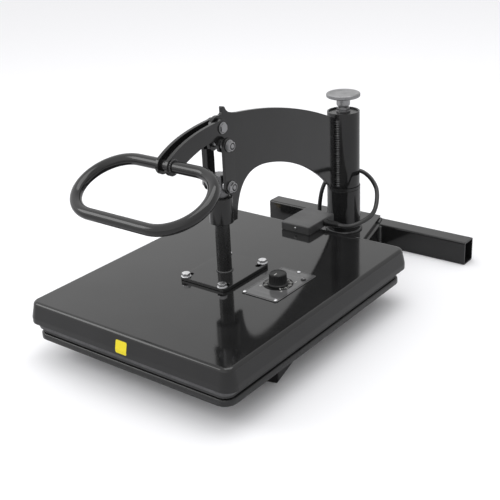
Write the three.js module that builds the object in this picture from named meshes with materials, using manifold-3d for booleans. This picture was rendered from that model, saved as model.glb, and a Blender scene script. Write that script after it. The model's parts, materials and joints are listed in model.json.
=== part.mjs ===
// Swing-away heat press, 16 x 20 in platen, in millimetres, +Z up.
// The shapes are drawn in the press's own frame: X to the operator's right, Y away from the operator,
// Z up from the bench, with the platen centred on X = Y = 0. The last lines centre the whole press.
import * as THREE from 'three';
import { mergeVertices } from 'three/addons/utils/BufferGeometryUtils.js';
import Module from 'manifold-3d';

const wasm = await Module();
wasm.setup();

// ---------------------------------------------------------------- driving dimensions
const GAP = 0.3;                                    // clearance left where pieces touch

const TUBE = { width: 36, height: 47.5, wall: 3, corner: 4 };        // base frame tube section
const CROSS_TUBE = { halfLength: 234, front: 450 };
const LEG = { angle: THREE.MathUtils.degToRad(13.8), outerAtRear: 46, frontY: -105 };
const BASE_PLATE = { thickness: 6.3, rearY: 481, frontY: 338, rearHalf: 29, frontHalf: 67 };

const POST = { y: 384, lowerRadius: 33, sleeveRadius: 31.75, spindleRadius: 25, wall: 3.5 };
const LOWER_POST_TOP = 142;
const COLLAR_TOP = 148;
const SLEEVE_TOP = 298;
const KNOB = { bottom: 325, thickness: 8, radius: 32.5, hubRadius: 13 };

const PLATEN = { halfX: 203, halfY: 254 };          // 406 x 508 mm, the 16 x 20 in platen
const TABLE = { top: 50.3, sheet: 2.5, skirtBottom: 39.5, corner: 20 };
const PAD = { thickness: 6.4, inset: 3 };
const CASTING = { bottom: 57.3, top: 80, corner: 16 };
const COVER = { top: 105, lip: 68, halfX: 209.2, halfY: 256.5, flare: 4.5, corner: 10, edge: 7, sheet: 1.5 };

const ARM = { thickness: 6.4, noseRadius: 18.5 };   // profile-cut arm plate
const PIVOT_Z = 364;                                // lever pivot A in the arm's nose
const TOGGLE = { crank: 28, link: 70 };             // pivot A to heel pin B, pin B to shaft pin C
const SHAFT = { radius: 12.7, top: 285 };
const BARREL = { radius: 20.5, bottom: 200, top: 245 };
const LEVER = { inner: 6.6, thickness: 6 };
const LINK = { inner: 18.3, thickness: 5.6, halfWidth: 12.8 };
const PIN_RADIUS = 6;
const SPACER_RADIUS = 9.5;
const LOCK_NUT = { washer: 10, washerThickness: 2, cornerRadius: 8.6, top: 8 };
const LOW_HEAD = { washer: 9.6, washerThickness: 1.6, cornerRadius: 8, top: 5 };
const PLATE_BOLT = {
  shank: 4, depth: 12, spacer: 8, washer: 8.6, washerThickness: 2,
  acrossFlats: 13, top: 7.3,
};
const BITE = 0.1;                                   // overlap between the solids of one fitting
const SCREW_RADIUS = 7;

const LOOP_TILT = THREE.MathUtils.degToRad(24);
const LOOP = { y: -179.7, z: 308.4, tilt: LOOP_TILT, radius: 63.6, straight: 117.4, tube: 9.4 };

const MOUNT_PLATE = { halfX: 49, halfY: 61, thickness: 6, boltX: 39, boltY: 56, slot: 13, slotHalf: 4.6 };
const PANEL = { x: 106, y: 12, halfX: 35, halfY: 58, thickness: 1 };
const DIAL = { x: 104, y: 11 };
const BOX = { halfX: 32, frontY: 212, rearY: 298, height: 16, wall: 2 };

const CORD_RADIUS = 4.2;
const COIL = { x: -147, y: 332, inner: 33, outer: 58.8, height: 17.4 };
const GLAND = { y: 266, z: 113.8, length: 30 };
const CLIP_Z = 162;

const HEEL_Z = PIVOT_Z - TOGGLE.crank;
const SHAFT_PIN_Z = HEEL_Z - TOGGLE.link;
const PLATE_TOP = TUBE.height + GAP + BASE_PLATE.thickness;

// ---------------------------------------------------------------- materials
const finish = (color, roughness, metalness) =>
  new THREE.MeshStandardMaterial({ color, roughness, metalness });
const MATERIALS = {
  gloss_black: finish(0x2b2b2c, 0.15, 0.2),
  satin_black: finish(0x3a3a3b, 0.35, 0.2),
  zinc: finish(0xc4c6c8, 0.35, 1.0),
  machined_steel: finish(0x8f9194, 0.3, 1.0),
  aluminium: finish(0xb5b6b7, 0.4, 1.0),
  cast_aluminium: finish(0x55565a, 0.55, 0.8),
  bronze: finish(0x8a6a3c, 0.4, 1.0),
  black_plastic: finish(0x141415, 0.45, 0.0),
  silicone: finish(0x3c3c3e, 0.8, 0.0),
  wool: finish(0xd9d4c4, 0.95, 0.0),
  cord: finish(0x1a1a1b, 0.5, 0.0),
  label: finish(0x6d6e70, 0.4, 0.1),
  clear_lens: finish(0x8a8a88, 0.15, 0.0),
};

// ---------------------------------------------------------------- scene groups
const press = new THREE.Group();
function add(name, geometry, material) {
  const mesh = new THREE.Mesh(geometry, MATERIALS[material]);
  mesh.name = name;
  press.add(mesh);
  return mesh;
}

// ---------------------------------------------------------------- booleans
function toSolid(geometry) {
  const bare = geometry.clone();
  for (const attribute of ['normal', 'uv', 'uv1', 'color']) bare.deleteAttribute(attribute);
  const merged = mergeVertices(bare, 1e-4);
  return new wasm.Manifold(new wasm.Mesh({
    numProp: 3,
    vertProperties: new Float32Array(merged.attributes.position.array),
    triVerts: new Uint32Array(merged.index.array),
  }));
}

function fromSolid(solid) {
  const { vertProperties, triVerts } = solid.getMesh();
  const geometry = new THREE.BufferGeometry();
  geometry.setAttribute('position', new THREE.BufferAttribute(new Float32Array(vertProperties), 3));
  geometry.setIndex(new THREE.BufferAttribute(new Uint32Array(triVerts), 1));
  return geometry;
}

const cut = (body, ...tools) =>
  fromSolid(tools.reduce((solid, tool) => solid.subtract(toSolid(tool)), toSolid(body)));
const join = (...parts) => fromSolid(parts.map(toSolid).reduce((solid, part) => solid.add(part)));

// ---------------------------------------------------------------- basic shapes
const box = (x, y, z, cx = 0, cy = 0, cz = 0) => new THREE.BoxGeometry(x, y, z).translate(cx, cy, cz);

// A cylinder along Z between two heights.
function rod(radius, bottom, top, x = 0, y = 0, sides = 24) {
  const height = top - bottom;
  return new THREE.CylinderGeometry(radius, radius, height, sides).rotateX(Math.PI / 2)
    .translate(x, y, bottom + height / 2);
}

// A cylinder along X between two stations.
function crossRod(radius, left, right, y, z, sides = 18) {
  const length = right - left;
  return new THREE.CylinderGeometry(radius, radius, length, sides).rotateZ(Math.PI / 2)
    .translate(left + length / 2, y, z);
}

// A ring along Z.
function ring(inner, outer, bottom, top, x = 0, y = 0, sides = 30) {
  const profile = [[inner, bottom], [outer, bottom], [outer, top], [inner, top], [inner, bottom]];
  return new THREE.LatheGeometry(profile.map(([r, z]) => new THREE.Vector2(r, z)), sides).rotateX(Math.PI / 2)
    .translate(x, y, 0);
}

function roundedRect(halfX, halfY, corner, Kind = THREE.Shape) {
  const shape = new Kind();
  shape.moveTo(halfX, corner - halfY);
  shape.lineTo(halfX, halfY - corner);
  shape.absarc(halfX - corner, halfY - corner, corner, 0, Math.PI / 2);
  shape.lineTo(corner - halfX, halfY);
  shape.absarc(corner - halfX, halfY - corner, corner, Math.PI / 2, Math.PI);
  shape.lineTo(-halfX, corner - halfY);
  shape.absarc(corner - halfX, corner - halfY, corner, Math.PI, 1.5 * Math.PI);
  shape.lineTo(halfX - corner, -halfY);
  shape.absarc(halfX - corner, corner - halfY, corner, 1.5 * Math.PI, 2 * Math.PI);
  return shape;
}

const extrude = (shape, depth, curveSegments = 3) =>
  new THREE.ExtrudeGeometry(shape, { depth, bevelEnabled: false, curveSegments });

const slab = (shape, bottom, depth, curveSegments) =>
  extrude(shape, depth, curveSegments).translate(0, 0, bottom);

// A shape drawn in Y and Z, extruded along X from a station.
const ALONG_X = new THREE.Vector3(1, 0, 0);
const ALONG_Y = new THREE.Vector3(0, 1, 0);
const ALONG_Z = new THREE.Vector3(0, 0, 1);
const TO_SIDE = new THREE.Matrix4().makeBasis(ALONG_Y, ALONG_Z, ALONG_X);
const sidePlate = (shape, left, thickness, curveSegments = 8) =>
  extrude(shape, thickness, curveSegments).applyMatrix4(TO_SIDE).translate(left, 0, 0);

// A surface through rings of points: capped at both ends, or joined end to end.
function skin(rings, closed = false) {
  const count = rings[0].length;
  const vertices = rings.flat();
  const faces = [];
  const last = closed ? rings.length : rings.length - 1;
  for (let i = 0; i < last; i++) {
    for (let j = 0; j < count; j++) {
      const [a, b] = [i * count + j, i * count + (j + 1) % count];
      const next = ((i + 1) % rings.length) * count;
      const [c, d] = [next + j, next + (j + 1) % count];
      faces.push(a, c, b, b, c, d);
    }
  }
  if (!closed) {
    for (let j = 1; j < count - 1; j++) {
      const end = (rings.length - 1) * count;
      faces.push(0, j, j + 1, end, end + j + 1, end + j);
    }
  }
  const geometry = new THREE.BufferGeometry();
  const numbers = vertices.flatMap((vertex) => vertex.toArray());
  geometry.setAttribute('position', new THREE.Float32BufferAttribute(numbers, 3));
  geometry.setIndex(faces);
  return geometry;
}

// One rounded-rectangle ring at a height.
function level(halfX, halfY, corner, z, segments = 4) {
  const points = [];
  for (let quarter = 0; quarter < 4; quarter++) {
    const cx = (halfX - corner) * (quarter === 0 || quarter === 3 ? 1 : -1);
    const cy = (halfY - corner) * (quarter < 2 ? 1 : -1);
    for (let i = 0; i <= segments; i++) {
      const turn = (quarter + i / segments) * Math.PI / 2;
      points.push(new THREE.Vector3(cx + corner * Math.cos(turn), cy + corner * Math.sin(turn), z));
    }
  }
  return points;
}

const hexHead = (acrossFlats, bottom, top, x, y) => rod(acrossFlats / Math.sqrt(3), bottom, top, x, y, 6);

// ---------------------------------------------------------------- base frame
function tubeSection(Kind, inset = 0) {
  const [halfWidth, halfHeight] = [TUBE.width / 2 - inset, TUBE.height / 2 - inset];
  return roundedRect(halfWidth, halfHeight, TUBE.corner - inset, Kind);
}

// Square-cut tube along -Y from the origin, standing on Z = 0.
function frameTube(length) {
  const section = tubeSection(THREE.Shape);
  section.holes.push(tubeSection(THREE.Path, TUBE.wall));
  return extrude(section, length, 3).rotateX(Math.PI / 2).translate(0, 0, TUBE.height / 2);
}

function crossTube() {
  const length = 2 * CROSS_TUBE.halfLength;
  return frameTube(length).rotateZ(Math.PI / 2)
    .translate(-CROSS_TUBE.halfLength, CROSS_TUBE.front + TUBE.width / 2, 0);
}

// The legs splay forward from the cross tube; side is +1 on the right, -1 on the left.
const LEG_RUN = (CROSS_TUBE.front - LEG.frontY) / Math.cos(LEG.angle);
function toLeg(geometry, side) {
  return geometry.rotateZ(side * LEG.angle)
    .translate(side * (LEG.outerAtRear - TUBE.width / 2 / Math.cos(LEG.angle)), CROSS_TUBE.front, 0);
}

function leg(side) {
  const overrun = 20;
  const whole = toLeg(frameTube(LEG_RUN + overrun).translate(0, overrun, 0), side);
  return cut(whole, box(200, 100, 100, 0, CROSS_TUBE.front - GAP + 50, 30));
}

function legCap(side) {
  const flange = 4;
  const depth = 12;
  const cap = join(
    extrude(tubeSection(THREE.Shape), flange, 3),
    extrude(tubeSection(THREE.Shape, TUBE.wall + GAP), depth, 3).translate(0, 0, BITE - depth),
  );
  return toLeg(cap.rotateX(Math.PI / 2).translate(0, -LEG_RUN - GAP, TUBE.height / 2), side);
}

function basePlate() {
  const shape = new THREE.Shape([
    new THREE.Vector2(-BASE_PLATE.frontHalf, BASE_PLATE.frontY),
    new THREE.Vector2(BASE_PLATE.frontHalf, BASE_PLATE.frontY),
    new THREE.Vector2(BASE_PLATE.rearHalf, BASE_PLATE.rearY),
    new THREE.Vector2(-BASE_PLATE.rearHalf, BASE_PLATE.rearY),
  ]);
  return slab(shape, TUBE.height + GAP, BASE_PLATE.thickness);
}

function lowerTable() {
  const { halfX, halfY } = PLATEN;
  const { top, sheet, skirtBottom, corner } = TABLE;
  const bend = 3;
  const rings = [
    level(halfX - bend, halfY - bend, corner - bend, top),
    level(halfX - 0.9, halfY - 0.9, corner - 0.9, top - 0.9),
    level(halfX, halfY, corner, top - bend),
    level(halfX, halfY, corner, skirtBottom),
    level(halfX - sheet, halfY - sheet, corner - sheet, skirtBottom),
    level(halfX - sheet, halfY - sheet, corner - sheet, top - sheet),
  ];
  const rearNotch = box(196, 20, 20, 0, halfY, top - sheet - 10);
  return cut(skin(rings), rearNotch);
}

function buildBase() {
  add('cross_tube', crossTube(), 'gloss_black');
  for (const [name, side] of [['left', -1], ['right', 1]]) {
    add(`leg_${name}`, leg(side), 'gloss_black');
    add(`leg_cap_${name}`, legCap(side), 'black_plastic');
  }
  add('base_plate', basePlate(), 'gloss_black');
  const postInner = POST.spindleRadius + GAP;
  const lowerPost = ring(postInner, POST.lowerRadius, PLATE_TOP + GAP, LOWER_POST_TOP, 0, POST.y);
  add('lower_post', lowerPost, 'gloss_black');
  const thread = rod(SCREW_RADIUS + GAP, 240, 300, 0, POST.y);
  const spindle = rod(POST.spindleRadius, PLATE_TOP + GAP, 285, 0, POST.y, 30);
  add('spindle', cut(spindle, thread), 'machined_steel');
  add('lower_table', lowerTable(), 'satin_black');
  const pad = roundedRect(PLATEN.halfX - PAD.inset, PLATEN.halfY - PAD.inset, TABLE.corner - PAD.inset);
  add('silicone_pad', slab(pad, TABLE.top + GAP, PAD.thickness), 'silicone');
}

// ---------------------------------------------------------------- post, arm and pressure screw
function buildLiftCollar() {
  const { y, spindleRadius, lowerRadius } = POST;
  const collar = ring(spindleRadius + GAP, lowerRadius, LOWER_POST_TOP + GAP, COLLAR_TOP, 0, y);
  add('lift_collar', collar, 'satin_black');
}

function armOutline() {
  const { noseRadius } = ARM;
  const [front, neck] = [BARREL.radius + GAP, 18];
  const [noseStart, noseEnd] = [-1.1, -4.9];
  const rear = POST.y - POST.sleeveRadius - GAP;
  const shape = new THREE.Shape();
  shape.moveTo(front, BARREL.bottom - 8);
  shape.lineTo(front, BARREL.top + 2);
  shape.lineTo(neck, BARREL.top + 8);
  shape.lineTo(neck, PIVOT_Z - 30);
  shape.quadraticCurveTo(neck, PIVOT_Z - 20,
    noseRadius * Math.cos(noseStart), PIVOT_Z + noseRadius * Math.sin(noseStart));
  shape.absarc(0, PIVOT_Z, noseRadius, noseStart, noseEnd, true);
  shape.quadraticCurveTo(11.5, PIVOT_Z + 16.8, 13, PIVOT_Z + 21);
  shape.lineTo(13, PIVOT_Z + 28.5);
  shape.quadraticCurveTo(13, PIVOT_Z + 30.5, 15, PIVOT_Z + 30.4);
  shape.lineTo(18.7, PIVOT_Z + 29.6);
  shape.quadraticCurveTo(20.4, PIVOT_Z + 29.2, 21.2, PIVOT_Z + 27);
  shape.quadraticCurveTo(25.5, PIVOT_Z + 18.5, 34, PIVOT_Z + 16.5);
  shape.quadraticCurveTo(42, PIVOT_Z + 13.4, 56, PIVOT_Z + 11.4);
  shape.bezierCurveTo(145, PIVOT_Z + 1.5, 250, PIVOT_Z - 24.5, rear, PIVOT_Z - 74);
  shape.lineTo(rear, COLLAR_TOP + 3);
  shape.lineTo(rear - 15, COLLAR_TOP + 3);
  shape.bezierCurveTo(293, 207, 203, 256, 123, 267);
  shape.bezierCurveTo(78, 273, 44, 257, 39, BARREL.bottom - 8);
  return shape;
}

function armPlate() {
  const half = ARM.thickness / 2;
  return cut(
    sidePlate(armOutline(), -half, ARM.thickness, 10),
    crossRod(PIN_RADIUS + GAP, -half - 1, half + 1, 0, PIVOT_Z),
  );
}

// Bolt A: it holds the lever plates to the nose, with spacers inside them and a low head and washer outside.
function pivotBolt() {
  const leverOuter = LEVER.inner + LEVER.thickness + GAP;
  const half = [
    crossRod(SPACER_RADIUS, ARM.thickness / 2 + GAP, LEVER.inner - GAP, 0, PIVOT_Z),
    ...fitting(LOW_HEAD, leverOuter, PIVOT_Z),
  ];
  return join(crossRod(PIN_RADIUS, -leverOuter, leverOuter, 0, PIVOT_Z), ...half, ...half.map(mirrored));
}

// A washer and a hexagon on the outer side of a face.
function fitting({ washer, washerThickness, cornerRadius, top }, face, z) {
  return [
    crossRod(washer, face, face + washerThickness, 0, z),
    crossRod(cornerRadius, face + washerThickness - BITE, face + top, 0, z, 6),
  ];
}

// The geometry on the other side of X = 0, with its faces turned the right way round again.
function mirrored(geometry) {
  const copy = geometry.clone().scale(-1, 1, 1);
  const index = copy.index.array;
  for (let i = 0; i < index.length; i += 3) [index[i], index[i + 1]] = [index[i + 1], index[i]];
  return copy;
}

function buildArm() {
  const { y, sleeveRadius, spindleRadius, wall } = POST;
  const bore = sleeveRadius - wall;
  add('arm_sleeve', ring(bore, sleeveRadius, COLLAR_TOP + GAP, SLEEVE_TOP, 0, y), 'gloss_black');
  for (const [name, bottom] of [['lower', COLLAR_TOP + 4], ['upper', 240]]) {
    add(`bushing_${name}`, ring(spindleRadius + GAP, bore - GAP, bottom, bottom + 30, 0, y), 'bronze');
  }
  add('sleeve_cap', ring(8, bore - GAP, SLEEVE_TOP - 9, SLEEVE_TOP - 3, 0, y), 'satin_black');
  const nut = join(
    ring(8, 13.5, SLEEVE_TOP - 3 + GAP, SLEEVE_TOP + 1, 0, y),
    cut(hexHead(22, SLEEVE_TOP + 0.9, SLEEVE_TOP + 8, 0, y), rod(8, SLEEVE_TOP, SLEEVE_TOP + 9, 0, y, 40)),
  );
  add('cap_nut', nut, 'zinc');
  add('arm_plate', armPlate(), 'gloss_black');
  add('pivot_bolt', pivotBolt(), 'zinc');
  const barrelBore = SHAFT.radius + 2.9;
  add('guide_barrel', ring(barrelBore, BARREL.radius, BARREL.bottom, BARREL.top), 'gloss_black');
  const bushing = (bottom) => ring(SHAFT.radius + GAP, barrelBore - GAP, bottom, bottom + 16);
  add('guide_bushing_lower', bushing(BARREL.bottom + 1), 'black_plastic');
  add('guide_bushing_upper', bushing(BARREL.top - 17), 'black_plastic');
}

function buildPressureScrew() {
  const profile = [
    [0, KNOB.bottom - 17], [KNOB.hubRadius - 2, KNOB.bottom - 17], [KNOB.hubRadius, KNOB.bottom - 14],
    [KNOB.hubRadius, KNOB.bottom - 3], [KNOB.hubRadius + 3, KNOB.bottom], [KNOB.radius - 1, KNOB.bottom],
    [KNOB.radius, KNOB.bottom + 1], [KNOB.radius, KNOB.bottom + KNOB.thickness - 1],
    [KNOB.radius - 1, KNOB.bottom + KNOB.thickness], [0, KNOB.bottom + KNOB.thickness],
  ].map(([r, z]) => new THREE.Vector2(r, z));
  const knob = new THREE.LatheGeometry(profile, 32).rotateX(Math.PI / 2).translate(0, POST.y, 0);
  const socket = rod(SCREW_RADIUS + GAP, KNOB.bottom - 20, KNOB.bottom - 4, 0, POST.y);
  add('pressure_knob', cut(knob, socket), 'aluminium');
  add('adjusting_screw', rod(SCREW_RADIUS, 250, KNOB.bottom - 5, 0, POST.y, 24), 'zinc');
}

// ---------------------------------------------------------------- lever, links and shaft
function leverOutline() {
  const barY = LOOP.y + LOOP.radius * Math.cos(LOOP.tilt);
  const barZ = LOOP.z + LOOP.radius * Math.sin(LOOP.tilt);
  const [boss, bossStart, bossEnd] = [15, -0.9, -4.1];
  const [heelRadius, noseRadius] = [13, 14];
  const shape = new THREE.Shape();
  shape.absarc(0, HEEL_Z, heelRadius, 0, -Math.PI * 0.8, true);
  shape.quadraticCurveTo(-12, PIVOT_Z - 17, -24, PIVOT_Z - 17);
  shape.bezierCurveTo(-50, PIVOT_Z - 17, -76, PIVOT_Z - 26,
    barY + boss * Math.cos(bossStart), barZ + boss * Math.sin(bossStart));
  shape.absarc(barY, barZ, boss, bossStart, bossEnd, true);
  shape.bezierCurveTo(-98, PIVOT_Z + 2, -58, PIVOT_Z + 10, -6, PIVOT_Z + 13.5);
  shape.absarc(0, PIVOT_Z, noseRadius, 2, 0, true);
  shape.lineTo(heelRadius, HEEL_Z);
  const hole = (y, z, radius) => {
    const path = new THREE.Path();
    path.absarc(y, z, radius, 0, 2 * Math.PI);
    return path;
  };
  shape.holes.push(hole(barY, barZ, LOOP.tube + GAP), hole(0, PIVOT_Z, PIN_RADIUS + GAP),
    hole(0, HEEL_Z, PIN_RADIUS + GAP));
  return shape;
}

// The hand loop: two straight bars along X and two half circles, tilted down to the front.
function handleLoop() {
  const { y, z, tilt, radius, straight, tube } = LOOP;
  const [turnSteps, barSteps, sides] = [10, 2, 12];
  const outwards = new THREE.Vector3(0, Math.cos(tilt), Math.sin(tilt));
  const up = new THREE.Vector3(0, -Math.sin(tilt), Math.cos(tilt));
  const rings = [];
  for (const side of [1, -1]) {
    for (let i = 0; i <= turnSteps + barSteps; i++) {
      const turn = Math.min(i / turnSteps, 1) * Math.PI;
      const slide = Math.max(i - turnSteps, 0) / (barSteps + 1) * straight;
      const radial = new THREE.Vector3(Math.sin(turn), 0, 0)
        .addScaledVector(outwards, -Math.cos(turn)).multiplyScalar(side);
      const centre = new THREE.Vector3(side * (straight / 2 - slide), y, z).addScaledVector(radial, radius);
      rings.push(Array.from({ length: sides }, (_, k) => {
        const angle = 2 * Math.PI * k / sides;
        return centre.clone()
          .addScaledVector(radial, tube * Math.cos(angle)).addScaledVector(up, tube * Math.sin(angle));
      }));
    }
  }
  return skin(rings, true);
}

function link(side) {
  const outline = new THREE.Shape();
  outline.absarc(0, SHAFT_PIN_Z, LINK.halfWidth, Math.PI, 2 * Math.PI);
  outline.absarc(0, HEEL_Z, LINK.halfWidth, 0, Math.PI);
  const left = side > 0 ? LINK.inner : -LINK.inner - LINK.thickness;
  const hole = crossRod(PIN_RADIUS + GAP, left - 1, left + LINK.thickness + 1, 0, SHAFT_PIN_Z);
  return cut(sidePlate(outline, left, LINK.thickness), hole);
}

// A washer and hex head on the outer face of a link; pin B's heads turn with the links.
function linkBolt(side, z) {
  const face = LINK.inner + LINK.thickness + GAP;
  const bolt = join(...fitting(LOCK_NUT, face, z));
  return side > 0 ? bolt : mirrored(bolt);
}

function buildToggle() {
  for (const [name, side] of [['left', -1], ['right', 1]]) {
    const left = side > 0 ? LEVER.inner : -LEVER.inner - LEVER.thickness;
    const plate = sidePlate(leverOutline(), left, LEVER.thickness);
    add(`lever_plate_${name}`, plate, 'gloss_black');
    add(`link_${name}`, link(side), 'gloss_black');
    add(`link_bolt_${name}`, linkBolt(side, HEEL_Z), 'zinc');
  }
  add('handle_loop', handleLoop(), 'gloss_black');
  const [heelEnd, plateOuter] = [LINK.inner - GAP, LEVER.inner + LEVER.thickness + GAP];
  add('heel_pin', join(
    crossRod(PIN_RADIUS, -heelEnd, heelEnd, 0, HEEL_Z),
    crossRod(SPACER_RADIUS, plateOuter, heelEnd, 0, HEEL_Z),
    crossRod(SPACER_RADIUS, -heelEnd, -plateOuter, 0, HEEL_Z),
  ), 'zinc');
}

// Pin C crosses the shaft's head, with spacers inside the links and hex heads outside them.
function shaftPin() {
  const face = LINK.inner + LINK.thickness + GAP;
  const half = [
    crossRod(SPACER_RADIUS, SHAFT.radius + GAP, LINK.inner - GAP, 0, SHAFT_PIN_Z),
    ...fitting(LOCK_NUT, face, SHAFT_PIN_Z),
  ];
  return join(crossRod(PIN_RADIUS, -face - 1, face + 1, 0, SHAFT_PIN_Z), ...half, ...half.map(mirrored));
}

// ---------------------------------------------------------------- heated head
const PLATE_BOTTOM = COVER.top + GAP;
const MOUNT_TOP = PLATE_BOTTOM + MOUNT_PLATE.thickness;
const BOLT_PLACES = [[-1, -1], [1, -1], [1, 1], [-1, 1]].map(([sx, sy]) =>
  ({ x: sx * MOUNT_PLATE.boltX, y: sy * MOUNT_PLATE.boltY, inwards: -sy }));

function mountingPlate() {
  const outline = roundedRect(MOUNT_PLATE.halfX, MOUNT_PLATE.halfY, 5);
  const plate = slab(outline, PLATE_BOTTOM, MOUNT_PLATE.thickness);
  const slots = BOLT_PLACES.map(({ x, y, inwards }) => {
    const half = MOUNT_PLATE.slot / 2;
    return slab(roundedRect(MOUNT_PLATE.slotHalf, half + MOUNT_PLATE.slotHalf, MOUNT_PLATE.slotHalf - 0.1),
      PLATE_BOTTOM - 1, MOUNT_PLATE.thickness + 2)
      .translate(x, y + inwards * half, 0);
  });
  return cut(plate, ...slots);
}

// Bolt, washer and the spacer sleeve that stands on the casting under the cover.
function plateBolt({ x, y }) {
  const { shank, spacer, washer, washerThickness, acrossFlats, top, depth } = PLATE_BOLT;
  const seat = MOUNT_TOP + washerThickness;
  return join(
    rod(shank, CASTING.top - depth, seat, x, y, 20),
    rod(spacer, CASTING.top + GAP, COVER.top - COVER.sheet - GAP, x, y, 20),
    rod(washer, MOUNT_TOP + GAP, seat, x, y, 20),
    hexHead(acrossFlats, seat - BITE, MOUNT_TOP + top, x, y),
  );
}

function platenCover() {
  const { top, lip, halfX, halfY, flare, corner, edge, sheet } = COVER;
  const rings = [];
  const roundSteps = 4;
  for (let i = 0; i <= roundSteps; i++) {
    const turn = i / roundSteps * Math.PI / 2;
    const [inset, drop] = [edge * (1 - Math.sin(turn)), edge * (1 - Math.cos(turn))];
    rings.push(level(halfX - inset, halfY - inset, corner + edge - inset, top - drop));
  }
  rings.push(level(halfX + flare, halfY + flare, corner + edge + flare, lip + 10));
  rings.push(level(halfX + flare, halfY + flare, corner + edge + flare, lip));
  rings.push(level(halfX + flare - sheet, halfY + flare - sheet, corner + edge + flare - sheet, lip));
  rings.push(level(halfX + flare - sheet, halfY + flare - sheet, corner + edge + flare - sheet, lip + 10));
  rings.push(level(halfX - sheet, halfY - sheet, corner + edge - sheet, top - edge));
  rings.push(level(halfX - edge, halfY - edge, corner, top - sheet));
  const holes = [...BOLT_PLACES, DIAL].map(({ x, y }) => rod(6, top - 10, top + 5, x, y, 20));
  return cut(skin(rings), ...holes);
}

function buildHead() {
  const pinHole = crossRod(PIN_RADIUS + GAP, -20, 20, 0, SHAFT_PIN_Z);
  add('shaft', cut(rod(SHAFT.radius, MOUNT_TOP + GAP, SHAFT.top), pinHole), 'machined_steel');
  add('shaft_pin', shaftPin(), 'zinc');
  add('mounting_plate', mountingPlate(), 'gloss_black');
  BOLT_PLACES.forEach((place, i) => add(`plate_bolt_${i + 1}`, plateBolt(place), 'zinc'));
  add('platen_cover', platenCover(), 'gloss_black');

  const outline = roundedRect(PLATEN.halfX, PLATEN.halfY, CASTING.corner);
  const casting = slab(outline, CASTING.bottom, CASTING.top - CASTING.bottom);
  const holeBottom = CASTING.top - PLATE_BOLT.depth - 0.5;
  const blindHoles = BOLT_PLACES.map(({ x, y }) =>
    rod(PLATE_BOLT.shank + GAP, holeBottom, CASTING.top + 5, x, y, 20));
  add('heat_platen', cut(casting, ...blindHoles), 'cast_aluminium');

  const blanket = slab(roundedRect(196, 246, 12), CASTING.top + 10, 12);
  const clear = BOLT_PLACES.map(({ x, y }) => rod(PLATE_BOLT.spacer + 0.5, CASTING.top, 110, x, y, 20));
  add('insulation', cut(blanket, ...clear, box(46, 46, 40, DIAL.x, DIAL.y, CASTING.top + 20)), 'wool');

  const passes = [
    [-110, -200], [-150, -120], [-150, 150], [-110, 200], [-70, 150], [-60, 90], [0, 75], [40, 110],
    [70, 180], [130, 190], [160, 120], [160, -150], [120, -200],
  ];
  const elementPath = route(passes.map(([x, y]) => [x, y, CASTING.top + 4.5]));
  add('heating_element', tube(elementPath, 3.5, 36, 6), 'machined_steel');

  add('thermostat', join(
    box(40, 40, 20, DIAL.x, DIAL.y, CASTING.top + 10.3),
    rod(3, CASTING.top + 20, COVER.top + 8, DIAL.x, DIAL.y, 16),
  ), 'black_plastic');
}

function buildControls() {
  const panelTop = COVER.top + GAP + PANEL.thickness;
  const panel = slab(roundedRect(PANEL.halfX, PANEL.halfY, 2), COVER.top + GAP, PANEL.thickness)
    .translate(PANEL.x, PANEL.y, 0);
  add('control_panel', cut(panel, rod(6, COVER.top - 5, COVER.top + 5, DIAL.x, DIAL.y, 20)), 'label');
  const screws = [[-31, -54], [31, -54], [2, 54]];
  screws.forEach(([dx, dy], i) => {
    const screw = rod(3.2, panelTop + GAP, panelTop + 2.4, PANEL.x + dx, PANEL.y + dy, 16);
    add(`panel_screw_${i + 1}`, screw, 'zinc');
  });
  add('pilot_lamp', rod(4.5, panelTop + GAP, panelTop + 4, PANEL.x + 25, PANEL.y + 34, 20), 'clear_lens');

  const profile = [[0, 1], [17.6, 1], [17.6, 2.4], [15.6, 3.6], [15, 5], [14.7, 19.5], [14, 21], [0, 21]]
    .map(([r, z]) => new THREE.Vector2(r, panelTop + z - 0.6));
  const knob = new THREE.LatheGeometry(profile, 28).rotateX(Math.PI / 2).translate(DIAL.x, DIAL.y, 0);
  add('dial_knob', cut(knob, rod(3 + GAP, COVER.top, COVER.top + 9, DIAL.x, DIAL.y, 16)), 'black_plastic');
}

function buildJunctionBox() {
  const [midY, halfY] = [(BOX.frontY + BOX.rearY) / 2, (BOX.rearY - BOX.frontY) / 2];
  const bottom = COVER.top + GAP;
  const lidBottom = bottom + 2 + GAP;
  const block = (inset, corner, low, depth) =>
    slab(roundedRect(BOX.halfX - inset, halfY - inset, corner), low, depth).translate(0, midY, 0);
  add('junction_base', block(0.5, 3, bottom, 2), 'satin_black');
  const lid = block(0, 3, lidBottom, COVER.top + BOX.height - lidBottom);
  const cavity = block(BOX.wall, 2, bottom, BOX.height - BOX.wall - GAP);
  const cordHole = crossRod(5, 20, 40, GLAND.y, GLAND.z, 20);
  add('junction_box', cut(lid, cavity, cordHole), 'satin_black');
  const screw = new THREE.CylinderGeometry(2.6, 2.6, 2, 16).translate(1, BOX.frontY - 1 - GAP, COVER.top + 9);
  add('box_screw', screw, 'zinc');
  const start = BOX.halfX + GAP;
  const profile = [[0, 0], [8, 0], [8, 5], [6.4, 6.5], [5.2, GLAND.length], [0, GLAND.length]];
  const gland = new THREE.LatheGeometry(profile.map(([r, x]) => new THREE.Vector2(r, x)), 20);
  add('strain_relief', gland.rotateZ(-Math.PI / 2).translate(start, GLAND.y, GLAND.z), 'black_plastic');
}

// ---------------------------------------------------------------- power cord
function tube(path, radius, steps, sides) {
  const section = new THREE.Shape(Array.from({ length: sides }, (_, i) => {
    const angle = 2 * Math.PI * i / sides;
    return new THREE.Vector2(radius * Math.cos(angle), radius * Math.sin(angle));
  }));
  return new THREE.ExtrudeGeometry(section, { steps, extrudePath: path });
}

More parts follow.
